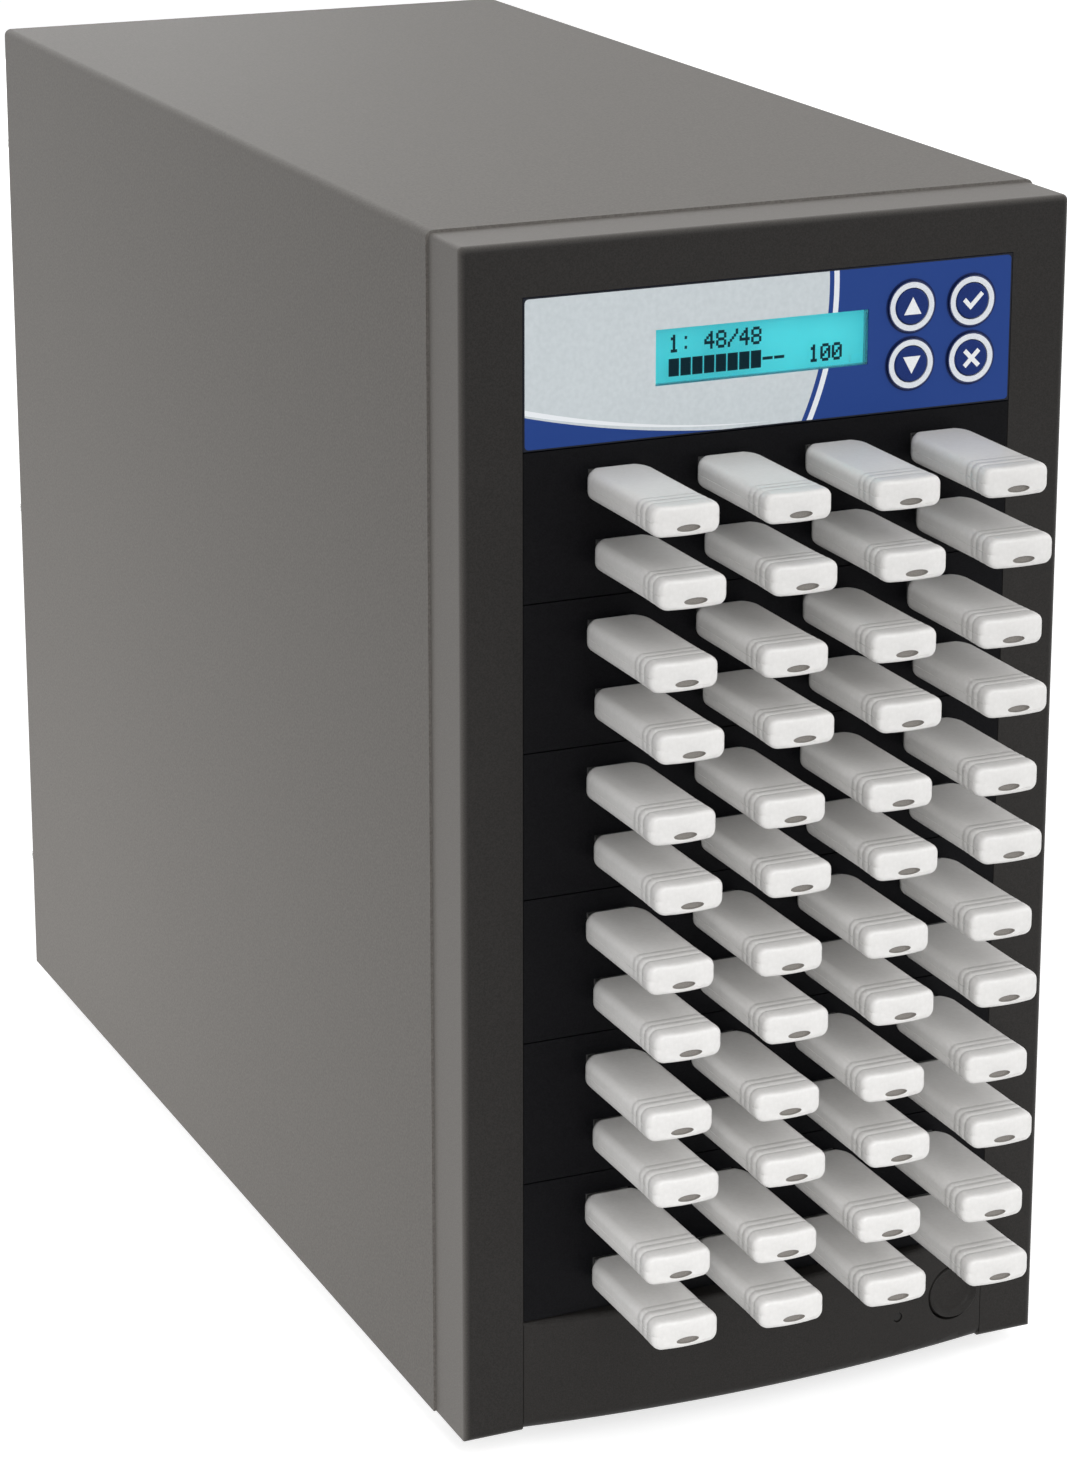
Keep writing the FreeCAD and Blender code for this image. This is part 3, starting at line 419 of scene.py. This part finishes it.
def stick_section(inset_x, inset_z, y, bow=0.0):
    """Section of a stick across Y: a rounded rectangle with a fine seam groove half way up each side.

    A bow moves the middle of the section forward, for a face that is round in plan."""
    half_w = STICK_WIDTH / 2 - inset_x
    half_h = STICK_HEIGHT / 2 - inset_z
    points = rounded_rectangle(half_w, half_h, max(STICK_CORNER - inset_z, LEAST_CORNER), y)
    quarter = len(points) // 4
    right = [(half_w, y, -SEAM_HALF), (half_w - SEAM_DEPTH, y, 0), (half_w, y, SEAM_HALF)]
    top = [(half_w * share, y, half_h) for share in FACE_SHARES]
    left = [(-px, py, -pz) for px, py, pz in right]
    bottom = [(-px, py, -pz) for px, py, pz in top]
    section = (points[:quarter] + right + points[quarter:2 * quarter] + top + points[2 * quarter:3 * quarter]
               + left + points[3 * quarter:] + bottom)
    return [(px, py - bow * (1 - (2 * px / STICK_WIDTH) ** 2), pz) for px, py, pz in section]


def hole_ring(count, scale, y):
    """Points round the keyring hole, in step with those of a stick's section."""
    points = []
    for index in range(count):
        angle = 2 * math.pi * (index + 0.5) / count - math.pi / 2
        points.append((HOLE_HALF_WIDTH * scale * math.cos(angle), y,
                       HOLE_Z + HOLE_HALF_HEIGHT * scale * math.sin(angle)))
    return points


def stick_shell(length):
    """Stick body about its own axis, with the tip at y 0 and the back at y length."""
    mesh = bmesh.new()
    rings = [stick_section(inset * MM, inset * MM, y * MM, bow * MM) for y, inset, bow in STICK_SECTIONS]
    for step in range(BACK_STEPS + 1):
        share = step / BACK_STEPS
        drop = 1 - math.sqrt(1 - share ** 2)
        edge = max(share - (1 - BACK_EDGE_SHARE), 0) / BACK_EDGE_SHARE
        rings.append(stick_section(BODY_INSET + BACK_INSET * drop, BODY_INSET + BACK_EDGE * edge,
                                   length - BACK_LENGTH * (1 - share)))
    last = loft(mesh, rings, close_last=True)[0]
    count = len(last)
    for scale, depth, material in HOLE_RINGS:
        new = [mesh.verts.new(point) for point in hole_ring(count, scale, depth * MM)]
        for index in range(count):
            after = (index + 1) % count
            mesh.faces.new((last[index], last[after], new[after], new[index])).material_index = material
        last = new
    mesh.faces.new(last).material_index = 1
    return mesh


def plug_shell(start, end):
    """Steel plug about the stick's axis, open at its inner end, with the contact carrier inside."""
    mesh = bmesh.new()
    half_w = PLUG_WIDTH / 2
    half_h = PLUG_HEIGHT / 2
    sections = ((0, PLUG_CORNER, start), (0, PLUG_CORNER, end - PLUG_LIP),
                (PLUG_LIP_INSET, PLUG_LIP_CORNER, end), (PLUG_WALL, PLUG_BORE_CORNER, end),
                (PLUG_WALL, PLUG_BORE_CORNER, end - PLUG_DEPTH))
    rings = [rounded_rectangle(half_w - inset, half_h - inset, corner, y, PLUG_CORNER_POINTS)
             for inset, corner, y in sections]
    loft(mesh, rings, close_first=True, close_last=True)
    carrier = []
    carrier_half = half_w - PLUG_WALL - CARRIER_GAP
    for y in (end - PLUG_DEPTH + CARRIER_FROM_BOTTOM, end - CARRIER_FROM_END):
        ring = rounded_rectangle(carrier_half, CARRIER_HALF_HEIGHT, CARRIER_CORNER, y, 2)
        carrier.append([(px, py, pz - CARRIER_DROP) for px, py, pz in ring])
    loft(mesh, carrier, material=1, close_first=True, close_last=True)
    # the two square windows on the upper and lower faces
    y = end - WINDOW_FROM_END
    for x in (-WINDOW_X, WINDOW_X):
        for z in (-half_h - WINDOW_LIFT, half_h + WINDOW_LIFT):
            add_face(mesh, [(x - WINDOW_HALF, y - WINDOW_HALF, z), (x + WINDOW_HALF, y - WINDOW_HALF, z),
                            (x + WINDOW_HALF, y + WINDOW_HALF, z), (x - WINDOW_HALF, y + WINDOW_HALF, z)], 1)
    return mesh


def stick_axes(node):
    """X and Z of each stick in a node."""
    low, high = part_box(node)
    count = 4 if "row" in node else 1
    pitch = (high.x - low.x - STICK_WIDTH) / (count - 1) if count > 1 else 0
    z = (low.z + high.z) / 2
    return [(low.x + STICK_WIDTH / 2 + index * pitch, z) for index in range(count)]


def sticks():
    """One shell and one plug, shared by all sticks and placed on the axis of each."""
    nodes = sorted(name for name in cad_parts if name.startswith("usb_stick"))
    low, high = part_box(nodes[0])
    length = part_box("usb_faceplate_1")[0].y - STICK_GAP - low.y
    shell_data = smooth_mesh("usb_shell_master", stick_shell(length), [STICK, HOLE_PAINTED_SHADE])
    plug = plug_shell(length - PLUG_OVERLAP, high.y - low.y)
    plug_data = smooth_mesh("usb_plug_master", plug, [PLUG, BLACK])
    for node in nodes:
        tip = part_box(node)[0].y
        for number, (x, z) in enumerate(stick_axes(node), 1):
            label = "%s_%d" % (node.replace("usb_stick", "stick"), number)
            body = place(label + "_shell", shell_data, node, (x, tip, z))
            place(label + "_plug", plug_data, node, (x, tip, z))
            if number == 1:
                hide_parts(node)


# ---------------------------------------------------------------- control panel
KEY_NODES = ("key_up", "key_down", "key_enter", "key_back")
KEY_LINE = (0.006, 0.017, 0.09)
# radius round each key within which its raised ring is pale, and the width of the film's dark line outside it
RING_PALE = 6.85 * MM
RING_LINE = 0.95 * MM

FILM_BLUE = (0.017, 0.052, 0.23)
# dark colour of the painted shade line round the film's edge, for the gap between film and bezel
FILM_GAP_SHADE = (0.012, 0.014, 0.022)
# the circle that bounds the blue field: its radius and right edge in shares of the film's width, and its
# centre in a share of the height
FIELD_RADIUS = 0.62
FIELD_EDGE = 0.615
FIELD_HEIGHT = 0.9
STRIPE_FROM_EDGE = 2.2 * MM
STRIPE_HALF = 0.8 * MM
# the band at the bottom ends at this share of the width
BAND_WIDTH = 0.5
BAND_HEIGHT = 9.5 * MM
BAND_RIM_RISE = 1.3 * MM
BAND_RIM_HALF = 0.75 * MM
# corner radius of the film's edge, and width of the painted shade line along it
FILM_CORNER = 1.6 * MM
GAP_SHADE_WIDTH = 0.4 * MM


def from_keys(s):
    """Distance across the panel from the axis of the nearest key."""
    nearest = None
    for node in KEY_NODES:
        x, z = axis_of(*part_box(node))
        reach = s.length(s.math("SUBTRACT", s.axis("X"), x), s.math("SUBTRACT", s.axis("Z"), z))
        nearest = reach if nearest is None else s.math("MINIMUM", nearest, reach)
    return nearest


def panel_plastic():
    """Pale panel whose raised rings round the keys have a dark blue outer edge."""
    s = Shader("panel_plastic")
    grain = s.noise(MOULD_GRAIN, 2)
    pale = s.ramp(grain, (0.35, (0.68, 0.715, 0.76)), (0.65, (0.74, 0.775, 0.82)))
    edge = s.math("GREATER_THAN", from_keys(s), RING_PALE)
    s.colour(s.mix(edge, pale, KEY_LINE))
    s.roughness(grain, 0.3, 0.4)
    s.bump(grain, 0.2, 0.1 * MM)
    return s.material


def film_field(s, low, high):
    """The field right of a large circle's edge, and the stripe that follows that edge inside the field."""
    width = high.x - low.x
    radius = FIELD_RADIUS * width
    centre_x = low.x + FIELD_EDGE * width - radius
    centre_z = low.z + FIELD_HEIGHT * (high.z - low.z)
    reach = s.length(s.math("SUBTRACT", s.axis("X"), centre_x), s.math("SUBTRACT", s.axis("Z"), centre_z))
    from_edge = s.math("SUBTRACT", reach, radius)
    field = s.math("GREATER_THAN", from_edge, 0.0)
    from_stripe = s.math("ABSOLUTE", s.math("SUBTRACT", from_edge, STRIPE_FROM_EDGE))
    return field, s.math("MULTIPLY", s.math("LESS_THAN", from_stripe, STRIPE_HALF), field)


def film_band(s, low, high):
    """The band along the bottom, which narrows to the right, and the pale rim above it."""
    share = s.math("DIVIDE", s.math("SUBTRACT", s.axis("X"), low.x), BAND_WIDTH * (high.x - low.x))
    rest = s.math("SUBTRACT", 1.0, share)
    top = s.math("ADD", low.z, s.math("MULTIPLY", s.math("MULTIPLY", rest, rest), BAND_HEIGHT))
    band = s.math("MULTIPLY", s.math("LESS_THAN", s.axis("Z"), top), s.math("LESS_THAN", share, 1.0))
    from_rim = s.math("ABSOLUTE", s.math("SUBTRACT", s.axis("Z"), s.math("ADD", top, BAND_RIM_RISE)))
    rim = s.math("LESS_THAN", from_rim, s.math("MULTIPLY", rest, BAND_RIM_HALF))
    return band, rim


def painted_gap_shade(s, low, high):
    """Painted shade: a dark line along the film's outermost edge, for the shadow gap between the film and the
    bezel, which goes round the corners on an arc.
    """
    past = []
    for value, start, end in ((s.axis("X"), low.x, high.x), (s.axis("Z"), low.z, high.z)):
        margin = s.math("MINIMUM", s.math("SUBTRACT", value, start), s.math("SUBTRACT", end, value))
        past.append(s.math("MAXIMUM", s.math("SUBTRACT", FILM_CORNER, margin), 0.0))
    return s.math("GREATER_THAN", s.length(*past), FILM_CORNER - GAP_SHADE_WIDTH)


def overlay_film():
    """Printed film: silver with a blue field round the keys, a light stripe and a slim blue band below."""
    low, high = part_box("panel_overlay")
    s = Shader("overlay_film")
    field, stripe = film_field(s, low, high)
    band, rim = film_band(s, low, high)
    ring = s.math("LESS_THAN", from_keys(s), RING_PALE + RING_LINE)
    tone = s.ramp(s.noise(FILM_GRAIN, 2), (0.3, (0.56, 0.61, 0.635)), (0.7, (0.61, 0.66, 0.685)))
    tone = s.mix(rim, tone, (0.82, 0.85, 0.88))
    tone = s.mix(s.math("MAXIMUM", field, band), tone, FILM_BLUE)
    tone = s.mix(stripe, tone, (0.78, 0.82, 0.86))
    tone = s.mix(ring, tone, KEY_LINE)
    # painted shade along the film's outer edge
    s.colour(s.mix(painted_gap_shade(s, low, high), tone, FILM_GAP_SHADE))
    s.set(Roughness=0.36, Specular_IOR_Level=0.12)
    return s.material


def lit_display():
    """Back-lit display behind the pane."""
    s = Shader("lit_display")
    glow = s.ramp(s.noise(60, 1), (0.3, (0.07, 0.66, 0.72)), (0.7, (0.09, 0.74, 0.79)))
    s.colour(glow)
    s.link(glow, s.surface.inputs["Emission Color"])
    s.set(Emission_Strength=0.28, Roughness=0.4)
    return s.material


def clear_pane():
    """Clear plastic pane with a faint tint."""
    s = Shader("clear_pane")
    s.set(Base_Color=(0.93, 0.99, 0.99, 1), Roughness=0.06, IOR=1.45, Transmission_Weight=1.0, Alpha=0.25)
    return s.material


# Dot patterns of the characters shown, seven rows of five dots from the top
CHARACTERS = {
    "0": "01110 10001 10011 10101 11001 10001 01110", "1": "00100 01100 00100 00100 00100 00100 01110",
    "4": "00010 00110 01010 10010 11111 00010 00010", "8": "01110 10001 10001 01110 10001 10001 01110",
    ":": "00000 00100 00000 00000 00000 00100 00000", "/": "00001 00001 00010 00100 01000 10000 10000",
    "#": "11111 11111 11111 11111 11111 11111 11111", "-": "00000 00000 00000 11111 00000 00000 00000",
    " ": "",
}
DISPLAY_LINES = ("1: 48/48", "########--  100")
DISPLAY_COLUMNS = 16
# share of the pane's width that stays free at each end
DISPLAY_MARGIN = 0.06
DISPLAY_TOP = 1.7 * MM
LINE_PITCH = 6.6 * MM
DOTS_IN_CELL = 6
# height of a dot and its growth past each side of its place, in shares of that place's width
DOT_HEIGHT = 1.15
DOT_GROWTH = 0.14
DOT_LIFT = 0.05 * MM


def dark_dots():
    """Line, column, row in the cell and place in that row of every dark dot."""
    for line, text in enumerate(DISPLAY_LINES):
        for column, character in enumerate(text):
            for row, dots in enumerate(CHARACTERS[character].split()):
                for index, dot in enumerate(dots):
                    if dot == "1":
                        yield line, column, row, index


def display_dots():
    """Dark dots of a two-line display, just in front of the pane's face."""
    low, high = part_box("lcd_window")
    width = high.x - low.x
    cell = width * (1 - 2 * DISPLAY_MARGIN) / DISPLAY_COLUMNS
    dot = cell / DOTS_IN_CELL
    grow = DOT_GROWTH * dot
    y = low.y - DOT_LIFT
    mesh = bmesh.new()
    for line, column, row, index in dark_dots():
        left = low.x + width * DISPLAY_MARGIN + column * cell + index * dot - grow
        right = left + dot + 2 * grow
        top = high.z - DISPLAY_TOP - line * LINE_PITCH - row * dot * DOT_HEIGHT + grow
        bottom = top - DOT_HEIGHT * dot - 2 * grow
        add_face(mesh, [(left, y, top), (right, y, top), (right, y, bottom), (left, y, bottom)])
    finish_mesh("display_dots", mesh, "housing", [INK])


# Outlines of the marks on the keys, in shares of MARK_REACH of the key's width
KEY_OUTLINES = {
    "key_up": [[(-0.42, -0.34), (0.42, -0.34), (0, 0.42)]],
    "key_down": [[(-0.42, 0.34), (0, -0.42), (0.42, 0.34)]],
    "key_enter": [[(-0.5, 0.02), (-0.36, 0.16), (-0.12, -0.1), (0.38, 0.4), (0.52, 0.26), (-0.12, -0.38)]],
    "key_back": [[(-0.42, 0.28), (-0.28, 0.42), (0.42, -0.28), (0.28, -0.42)],
                 [(-0.42, -0.28), (0.28, 0.42), (0.42, 0.28), (-0.28, -0.42)]],
}
MARK_REACH = 0.54
MARK_RISE = 0.12 * MM
MARK_SINK = 0.05 * MM
# the second bar of a cross stands this much prouder, so that the two faces don't coincide
MARK_STEP = 0.01 * MM


def key_symbols():
    """Raised white marks on the keys: up, down, a tick and a cross."""
    for node, shapes in KEY_OUTLINES.items():
        low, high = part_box(node)
        x, z = axis_of(low, high)
        reach = (high.x - low.x) * MARK_REACH
        mesh = bmesh.new()
        for number, shape in enumerate(shapes):
            rings = [[(x + dx * reach, y, z + dz * reach) for dx, dz in shape]
                     for y in (low.y - MARK_RISE - number * MARK_STEP, low.y + MARK_SINK)]
            loft(mesh, rings, close_first=True, close_last=True)
        finish_mesh(node + "_mark", mesh, node, [MARK])


# ---------------------------------------------------------------- round pieces, button and back
def turned(name, profile, axis_x, axis_z, body, materials, segments=40, knurl=0.0):
    """Lathed piece about an axis along Y, from (radius, y, share of the knurl's depth) points."""
    mesh = bmesh.new()
    rings = []
    for radius, y, knurl_share in profile:
        points = []
        for index in range(segments):
            angle = 2 * math.pi * index / segments
            reach = radius - (knurl * knurl_share if index % 2 else 0)
            points.append((axis_x + reach * math.cos(angle), y, axis_z + reach * math.sin(angle)))
        rings.append(points)
    loft(mesh, rings, close_first=True, close_last=True)
    return finish_mesh(name, mesh, body, materials)


def tube(name, path, radius, body, material, closed=False):
    """Round wire along a list of points."""
    curve = bpy.data.curves.new(name, "CURVE")
    curve.dimensions = "3D"
    curve.bevel_depth = radius
    curve.bevel_resolution = 2
    curve.use_fill_caps = True
    spline = curve.splines.new("POLY")
    spline.points.add(len(path) - 1)
    for point, position in zip(spline.points, path):
        point.co = (*position, 1)
    spline.use_cyclic_u = closed
    wire = bpy.data.objects.new(name, curve)
    scene.collection.objects.link(wire)
    graph = bpy.context.evaluated_depsgraph_get()
    data = bpy.data.meshes.new_from_object(wire.evaluated_get(graph))
    bpy.data.objects.remove(wire)
    data.shade_smooth()
    data.materials.clear()
    data.materials.append(material)
    return place(name, data, body)


GUARD_WIRE = 0.85 * MM
GUARD_RINGS = (14 * MM, 25 * MM, 36 * MM)
GUARD_RING_POINTS = 64
GUARD_EYE = 35.75 * MM
EYE_HOLE = 2.2 * MM
EYE_RADIUS = 3.7 * MM
EYE_THICKNESS = 1.4 * MM


def finger_guard():
    """Round wire rings on two crossed wires with flattened eyes, over the supply's fan."""
    low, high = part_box("supply_fan_guard")
    x, z = axis_of(low, high)
    ring_y = high.y - GUARD_WIRE
    bar_y = low.y + GUARD_WIRE
    for number, radius in enumerate(GUARD_RINGS, 1):
        path = []
        for index in range(GUARD_RING_POINTS):
            angle = 2 * math.pi * index / GUARD_RING_POINTS
            path.append((x + radius * math.cos(angle), ring_y, z + radius * math.sin(angle)))
        tube("guard_ring_%d" % number, path, GUARD_WIRE, "housing", WIRE, closed=True)
    for number, slope in enumerate((1, -1), 1):
        path = [(x + side * GUARD_EYE, bar_y, z + side * slope * GUARD_EYE) for side in (-1, 1)]
        tube("guard_bar_%d" % number, path, GUARD_WIRE, "housing", WIRE)
    eye_back = low.y + EYE_THICKNESS
    eye = [(EYE_HOLE, low.y, 0), (EYE_RADIUS, low.y, 0), (EYE_RADIUS, eye_back, 0), (EYE_HOLE, eye_back, 0)]
    for number, (sx, sz) in enumerate(((-1, -1), (-1, 1), (1, -1), (1, 1)), 1):
        turned("guard_eye_%d" % number, eye, x + sx * GUARD_EYE, z + sz * GUARD_EYE, "housing", [WIRE])
    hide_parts("supply_fan_guard")


# Corners of a mesh nearer than this are the same point
SAME_POINT = 0.01 * MM


def solid_boxes(node):
    """Low and high corners of each separate solid of a node."""
    mesh = bmesh.new()
    mesh.from_mesh(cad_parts[node].data)
    mesh.transform(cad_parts[node].matrix_world)
    bmesh.ops.remove_doubles(mesh, verts=mesh.verts, dist=SAME_POINT)
    unseen = set(mesh.verts)
    boxes = []
    while unseen:
        reached = [unseen.pop()]
        solid = []
        while reached:
            vert = reached.pop()
            solid.append(vert.co.copy())
            for edge in vert.link_edges:
                other = edge.other_vert(vert)
                if other in unseen:
                    unseen.remove(other)
                    reached.append(other)
        boxes.append([Vector(pick(co[axis] for co in solid) for axis in range(3)) for pick in (min, max)])
    mesh.free()
    return sorted(boxes, key=lambda box: tuple(round(value, 4) for value in (*box[0], *box[1])))


# The shank's radius in a share of the head's, and the broken edge at its end
SHANK_RADIUS = 0.38
SHANK_END = 0.8
SHANK_EDGE = 0.4 * MM
HEAD_POINTS = 48
KNURL_DEPTH = 0.3 * MM
# The recess's reach in a share of the head's radius, and half its arm's width in a share of that reach
CROSS_REACH = 0.5
CROSS_ARM = 0.28
CROSS_DEPTH = 0.3 * MM
CROSS_BELOW_TOP = 0.03 * MM


def painted_cross_shade(name, x, y, z, reach, body):
    """Painted shade: a dark cross set into a screw head that faces back, in place of the shade inside its
    cross recess.
    """
    arm = CROSS_ARM * reach
    outline = [(arm, arm), (reach, arm), (reach, -arm), (arm, -arm), (arm, -reach), (-arm, -reach),
               (-arm, -arm), (-reach, -arm), (-reach, arm), (-arm, arm), (-arm, reach), (arm, reach)]
    mesh = bmesh.new()
    loft(mesh, [[(x + dx, level, z + dz) for dx, dz in outline] for level in (y - CROSS_DEPTH, y)],
         close_first=True, close_last=True)
    finish_mesh(name, mesh, body, [BLACK])


def thumb_head(radius, seat, back):
    """Profile of a knurled head with broken edges, on a neck."""
    return [(0.7 * radius, seat, 0), (0.7 * radius, seat + 1.2 * MM, 0),
            (radius, seat + 1.4 * MM, 0.3), (radius, seat + 1.8 * MM, 1),
            (radius, back - 0.7 * MM, 1), (radius - 0.2 * MM, back - 0.35 * MM, 0.3),
            (radius - 0.7 * MM, back - 0.05 * MM, 0), (0.6 * radius, back - 0.05 * MM, 0)]


def pan_head(radius, seat, back):
    """Profile of a low domed head."""
    return [(radius, seat, 0), (radius, seat + 0.5 * MM, 0),
            (0.95 * radius, seat + 0.95 * MM, 0), (0.82 * radius, seat + 1.4 * MM, 0),
            (0.62 * radius, back - 0.1 * MM, 0), (0.55 * radius, back - 0.05 * MM, 0)]


def screws(node, head_height, head):
    """Screws with a cross recess, shown as a dark cross of painted shade, in place of a node's plain ones."""
    for number, (low, high) in enumerate(solid_boxes(node), 1):
        x, z = axis_of(low, high)
        radius = (high.x - low.x) / 2
        seat = high.y - head_height
        shank = SHANK_RADIUS * radius
        profile = [(SHANK_END * shank, low.y, 0), (shank, low.y + SHANK_EDGE, 0), (shank, seat, 0),
                   *head(radius, seat, high.y)]
        name = "%s_%d" % (node, number)
        screw = turned(name, profile, x, z, "housing", [WIRE], segments=HEAD_POINTS, knurl=KNURL_DEPTH)
        # the dark cross is painted shade for the recess
        painted_cross_shade(name + "_cross", x, high.y - CROSS_BELOW_TOP, z, CROSS_REACH * radius, "housing")
        if number == 1:
            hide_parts(node)


# Outline of the bar on the rocker, and the ring's section as (radius, height), in millimetres
ROCKER_BAR = ((-0.3, -1.3), (0.3, -1.3), (0.3, 1.3), (-0.3, 1.3))
ROCKER_RING = ((1.0, -0.05), (1.0, 0.06), (1.4, 0.06), (1.4, -0.05))
ROCKER_RING_POINTS = 32
ROCKER_MARK_LEVELS = (-0.05, 0.06)


def rocker_marks():
    """A white bar on one half of the rocker's face and a ring on the other."""
    halves = {}
    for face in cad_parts["rocker_switch"].data.polygons:
        if face.normal.y > 0.9:
            halves.setdefault(round(face.normal.z, 2), []).append(face)
    largest = sorted(halves.values(), key=lambda faces: -sum(face.area for face in faces))[:2]
    across = Vector((1, 0, 0))
    angles = [2 * math.pi * index / ROCKER_RING_POINTS for index in range(ROCKER_RING_POINTS)]
    for number, faces in enumerate(largest, 1):
        centre = sum((face.center * face.area for face in faces), Vector()) / sum(face.area for face in faces)
        normal = faces[0].normal.copy()
        up = across.cross(normal)

        def point(dx, dz, lift):
            return centre + (across * dx + up * dz + normal * lift) * MM

        mesh = bmesh.new()
        if number == 1:
            rings = [[point(dx, dz, lift) for dx, dz in ROCKER_BAR] for lift in ROCKER_MARK_LEVELS]
            loft(mesh, rings, close_first=True, close_last=True)
        else:
            rings = [[point(reach * math.cos(angle), reach * math.sin(angle), lift) for angle in angles]
                     for reach, lift in ROCKER_RING]
            loft(mesh, [*rings, rings[0]])
            bmesh.ops.remove_doubles(mesh, verts=mesh.verts, dist=0.001 * MM)
        finish_mesh("rocker_mark_%d" % number, mesh, "rocker_switch", [MARK])


BUTTON_POINTS = 96
BUTTON_CAP = 12 * MM
BUTTON_STEM = 2.4 * MM
BUTTON_SLOT = 0.4 * MM
# the cap is narrower by the slot in front of this depth
BUTTON_STEP = 3 * MM
# (inset from the cap's narrow part, depth) of the broken edge and the dish, in millimetres
BUTTON_FACE = ((0, 2.6), (0, 0.4), (0.15, 0.12), (0.3, 0), (0.45, 0.1), (1.4, 1.5), (1.8, 1.75), (2.5, 1.85))
# radius and depth of the flat in the middle of the dish
DISH_FLAT = 0.5 * MM
DISH_DEPTH = 1.9 * MM


def dished_button():
    """Round push button on its stem, with a broken edge and a shallow dish in its face."""
    low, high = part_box("power_button")
    x, z = axis_of(low, high)
    radius = (high.x - low.x) / 2
    cap_back = low.y + BUTTON_CAP
    narrow = radius - BUTTON_SLOT
    profile = [(BUTTON_STEM, high.y, 0), (BUTTON_STEM, cap_back, 0), (radius, cap_back, 0),
               (radius, low.y + BUTTON_STEP, 0)]
    profile += [(narrow - inset * MM, low.y + depth * MM, 0) for inset, depth in BUTTON_FACE]
    profile.append((DISH_FLAT, low.y + DISH_DEPTH, 0))
    cap = turned("button_cap", profile, x, z, "power_button", [CHIN], segments=BUTTON_POINTS)
    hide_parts("power_button")


sticks()
for node_name, look in (("control_panel", panel_plastic()), ("panel_overlay", overlay_film()),
                        ("lcd_module", lit_display()), ("lcd_window", clear_pane())):
    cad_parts[node_name].data.materials[0] = look
display_dots()
key_symbols()
finger_guard()
dished_button()
rocker_marks()
screws("cover_screws", 5.0 * MM, thumb_head)
screws("fan_screws", 1.8 * MM, pan_head)


# ---------------------------------------------------------------- floor, light and camera
def background_level(tree, away, seen):
    """A strength that is `seen` where the camera, a reflection or clear plastic meets it, and else `away`."""
    path = tree.nodes.new("ShaderNodeLightPath")
    total = path.outputs["Is Camera Ray"]
    for ray in ("Is Glossy Ray", "Is Transmission Ray"):
        either = tree.nodes.new("ShaderNodeMath")
        either.operation = "MAXIMUM"
        tree.links.new(total, either.inputs[0])
        tree.links.new(path.outputs[ray], either.inputs[1])
        total = either.outputs[0]
    level = tree.nodes.new("ShaderNodeMapRange")
    level.inputs["To Min"].default_value = away
    level.inputs["To Max"].default_value = seen
    tree.links.new(total, level.inputs["Value"])
    return level.outputs["Result"]


def stage():
    """Pale floor just under the feet, and a pale world."""
    bpy.ops.mesh.primitive_plane_add(size=12)
    floor = bpy.context.object
    floor.name = "floor"
    floor.location.z = -0.2 * MM
    s = Shader("floor")
    s.set(Base_Color=(0.7, 0.7, 0.7, 1), Roughness=0.9, Specular_IOR_Level=0.0, Emission_Color=(1, 1, 1, 1))
    s.link(background_level(s.tree, 0.0, 0.65), s.surface.inputs["Emission Strength"])
    floor.data.materials.append(s.material)
    world = bpy.data.worlds.new("studio")
    scene.world = world
    world.use_nodes = True
    light = world.node_tree.nodes["Background"]
    light.inputs["Color"].default_value = (1, 1, 1, 1)
    world.node_tree.links.new(background_level(world.node_tree, 0.5, 1.0), light.inputs["Strength"])


def lamp(kind, name, position, target, power):
    """A lamp that points at a target and isn't seen itself."""
    data = bpy.data.lights.new(name, kind)
    data.energy = power
    item = bpy.data.objects.new(name, data)
    scene.collection.objects.link(item)
    item.location = position
    item.rotation_euler = (Vector(target) - Vector(position)).to_track_quat("-Z", "Y").to_euler()
    item.visible_camera = False
    return data


def area(name, position, power):
    """A large soft lamp on the object's middle."""
    lamp("AREA", name, position, (0, 0, 0.17), power).size = 1.4


def pool(name, position, target, angle, power):
    """A soft-edged pool of light that fades out from its middle."""
    data = lamp("SPOT", name, position, target, power)
    data.spot_size = math.radians(angle)
    data.spot_blend = 1.0
    data.shadow_soft_size = 0.25


def camera():
    """Camera at the photograph's viewing angle, placed from the lower front edge of the bezel."""
    data = bpy.data.cameras.new("camera")
    data.lens = 102.1
    data.sensor_width = 36
    data.shift_y = -0.1297
    eye = bpy.data.objects.new("camera", data)
    scene.collection.objects.link(eye)
    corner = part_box("front_bezel")[0]
    eye.location = (-0.502, corner.y - 0.9825, corner.z + 0.564)
    eye.rotation_euler = (math.radians(74.328), 0, math.radians(-23.682))
    scene.camera = eye


stage()
camera()
area("key", (0.1, -1.6, 1.7), 15)
area("top", (0.0, 0.9, 1.8), 3.5)
area("right", (1.9, -0.9, 0.8), 8)
area("back", (0.05, 2.2, 0.6), 10)
pool("low_side", (-2.2, 0.6, 0.5), (-0.09, 0.18, 0.0), 18, 115)
pool("low_front", (-0.9, -2.2, 0.75), (0, -0.18, -0.02), 20, 95)
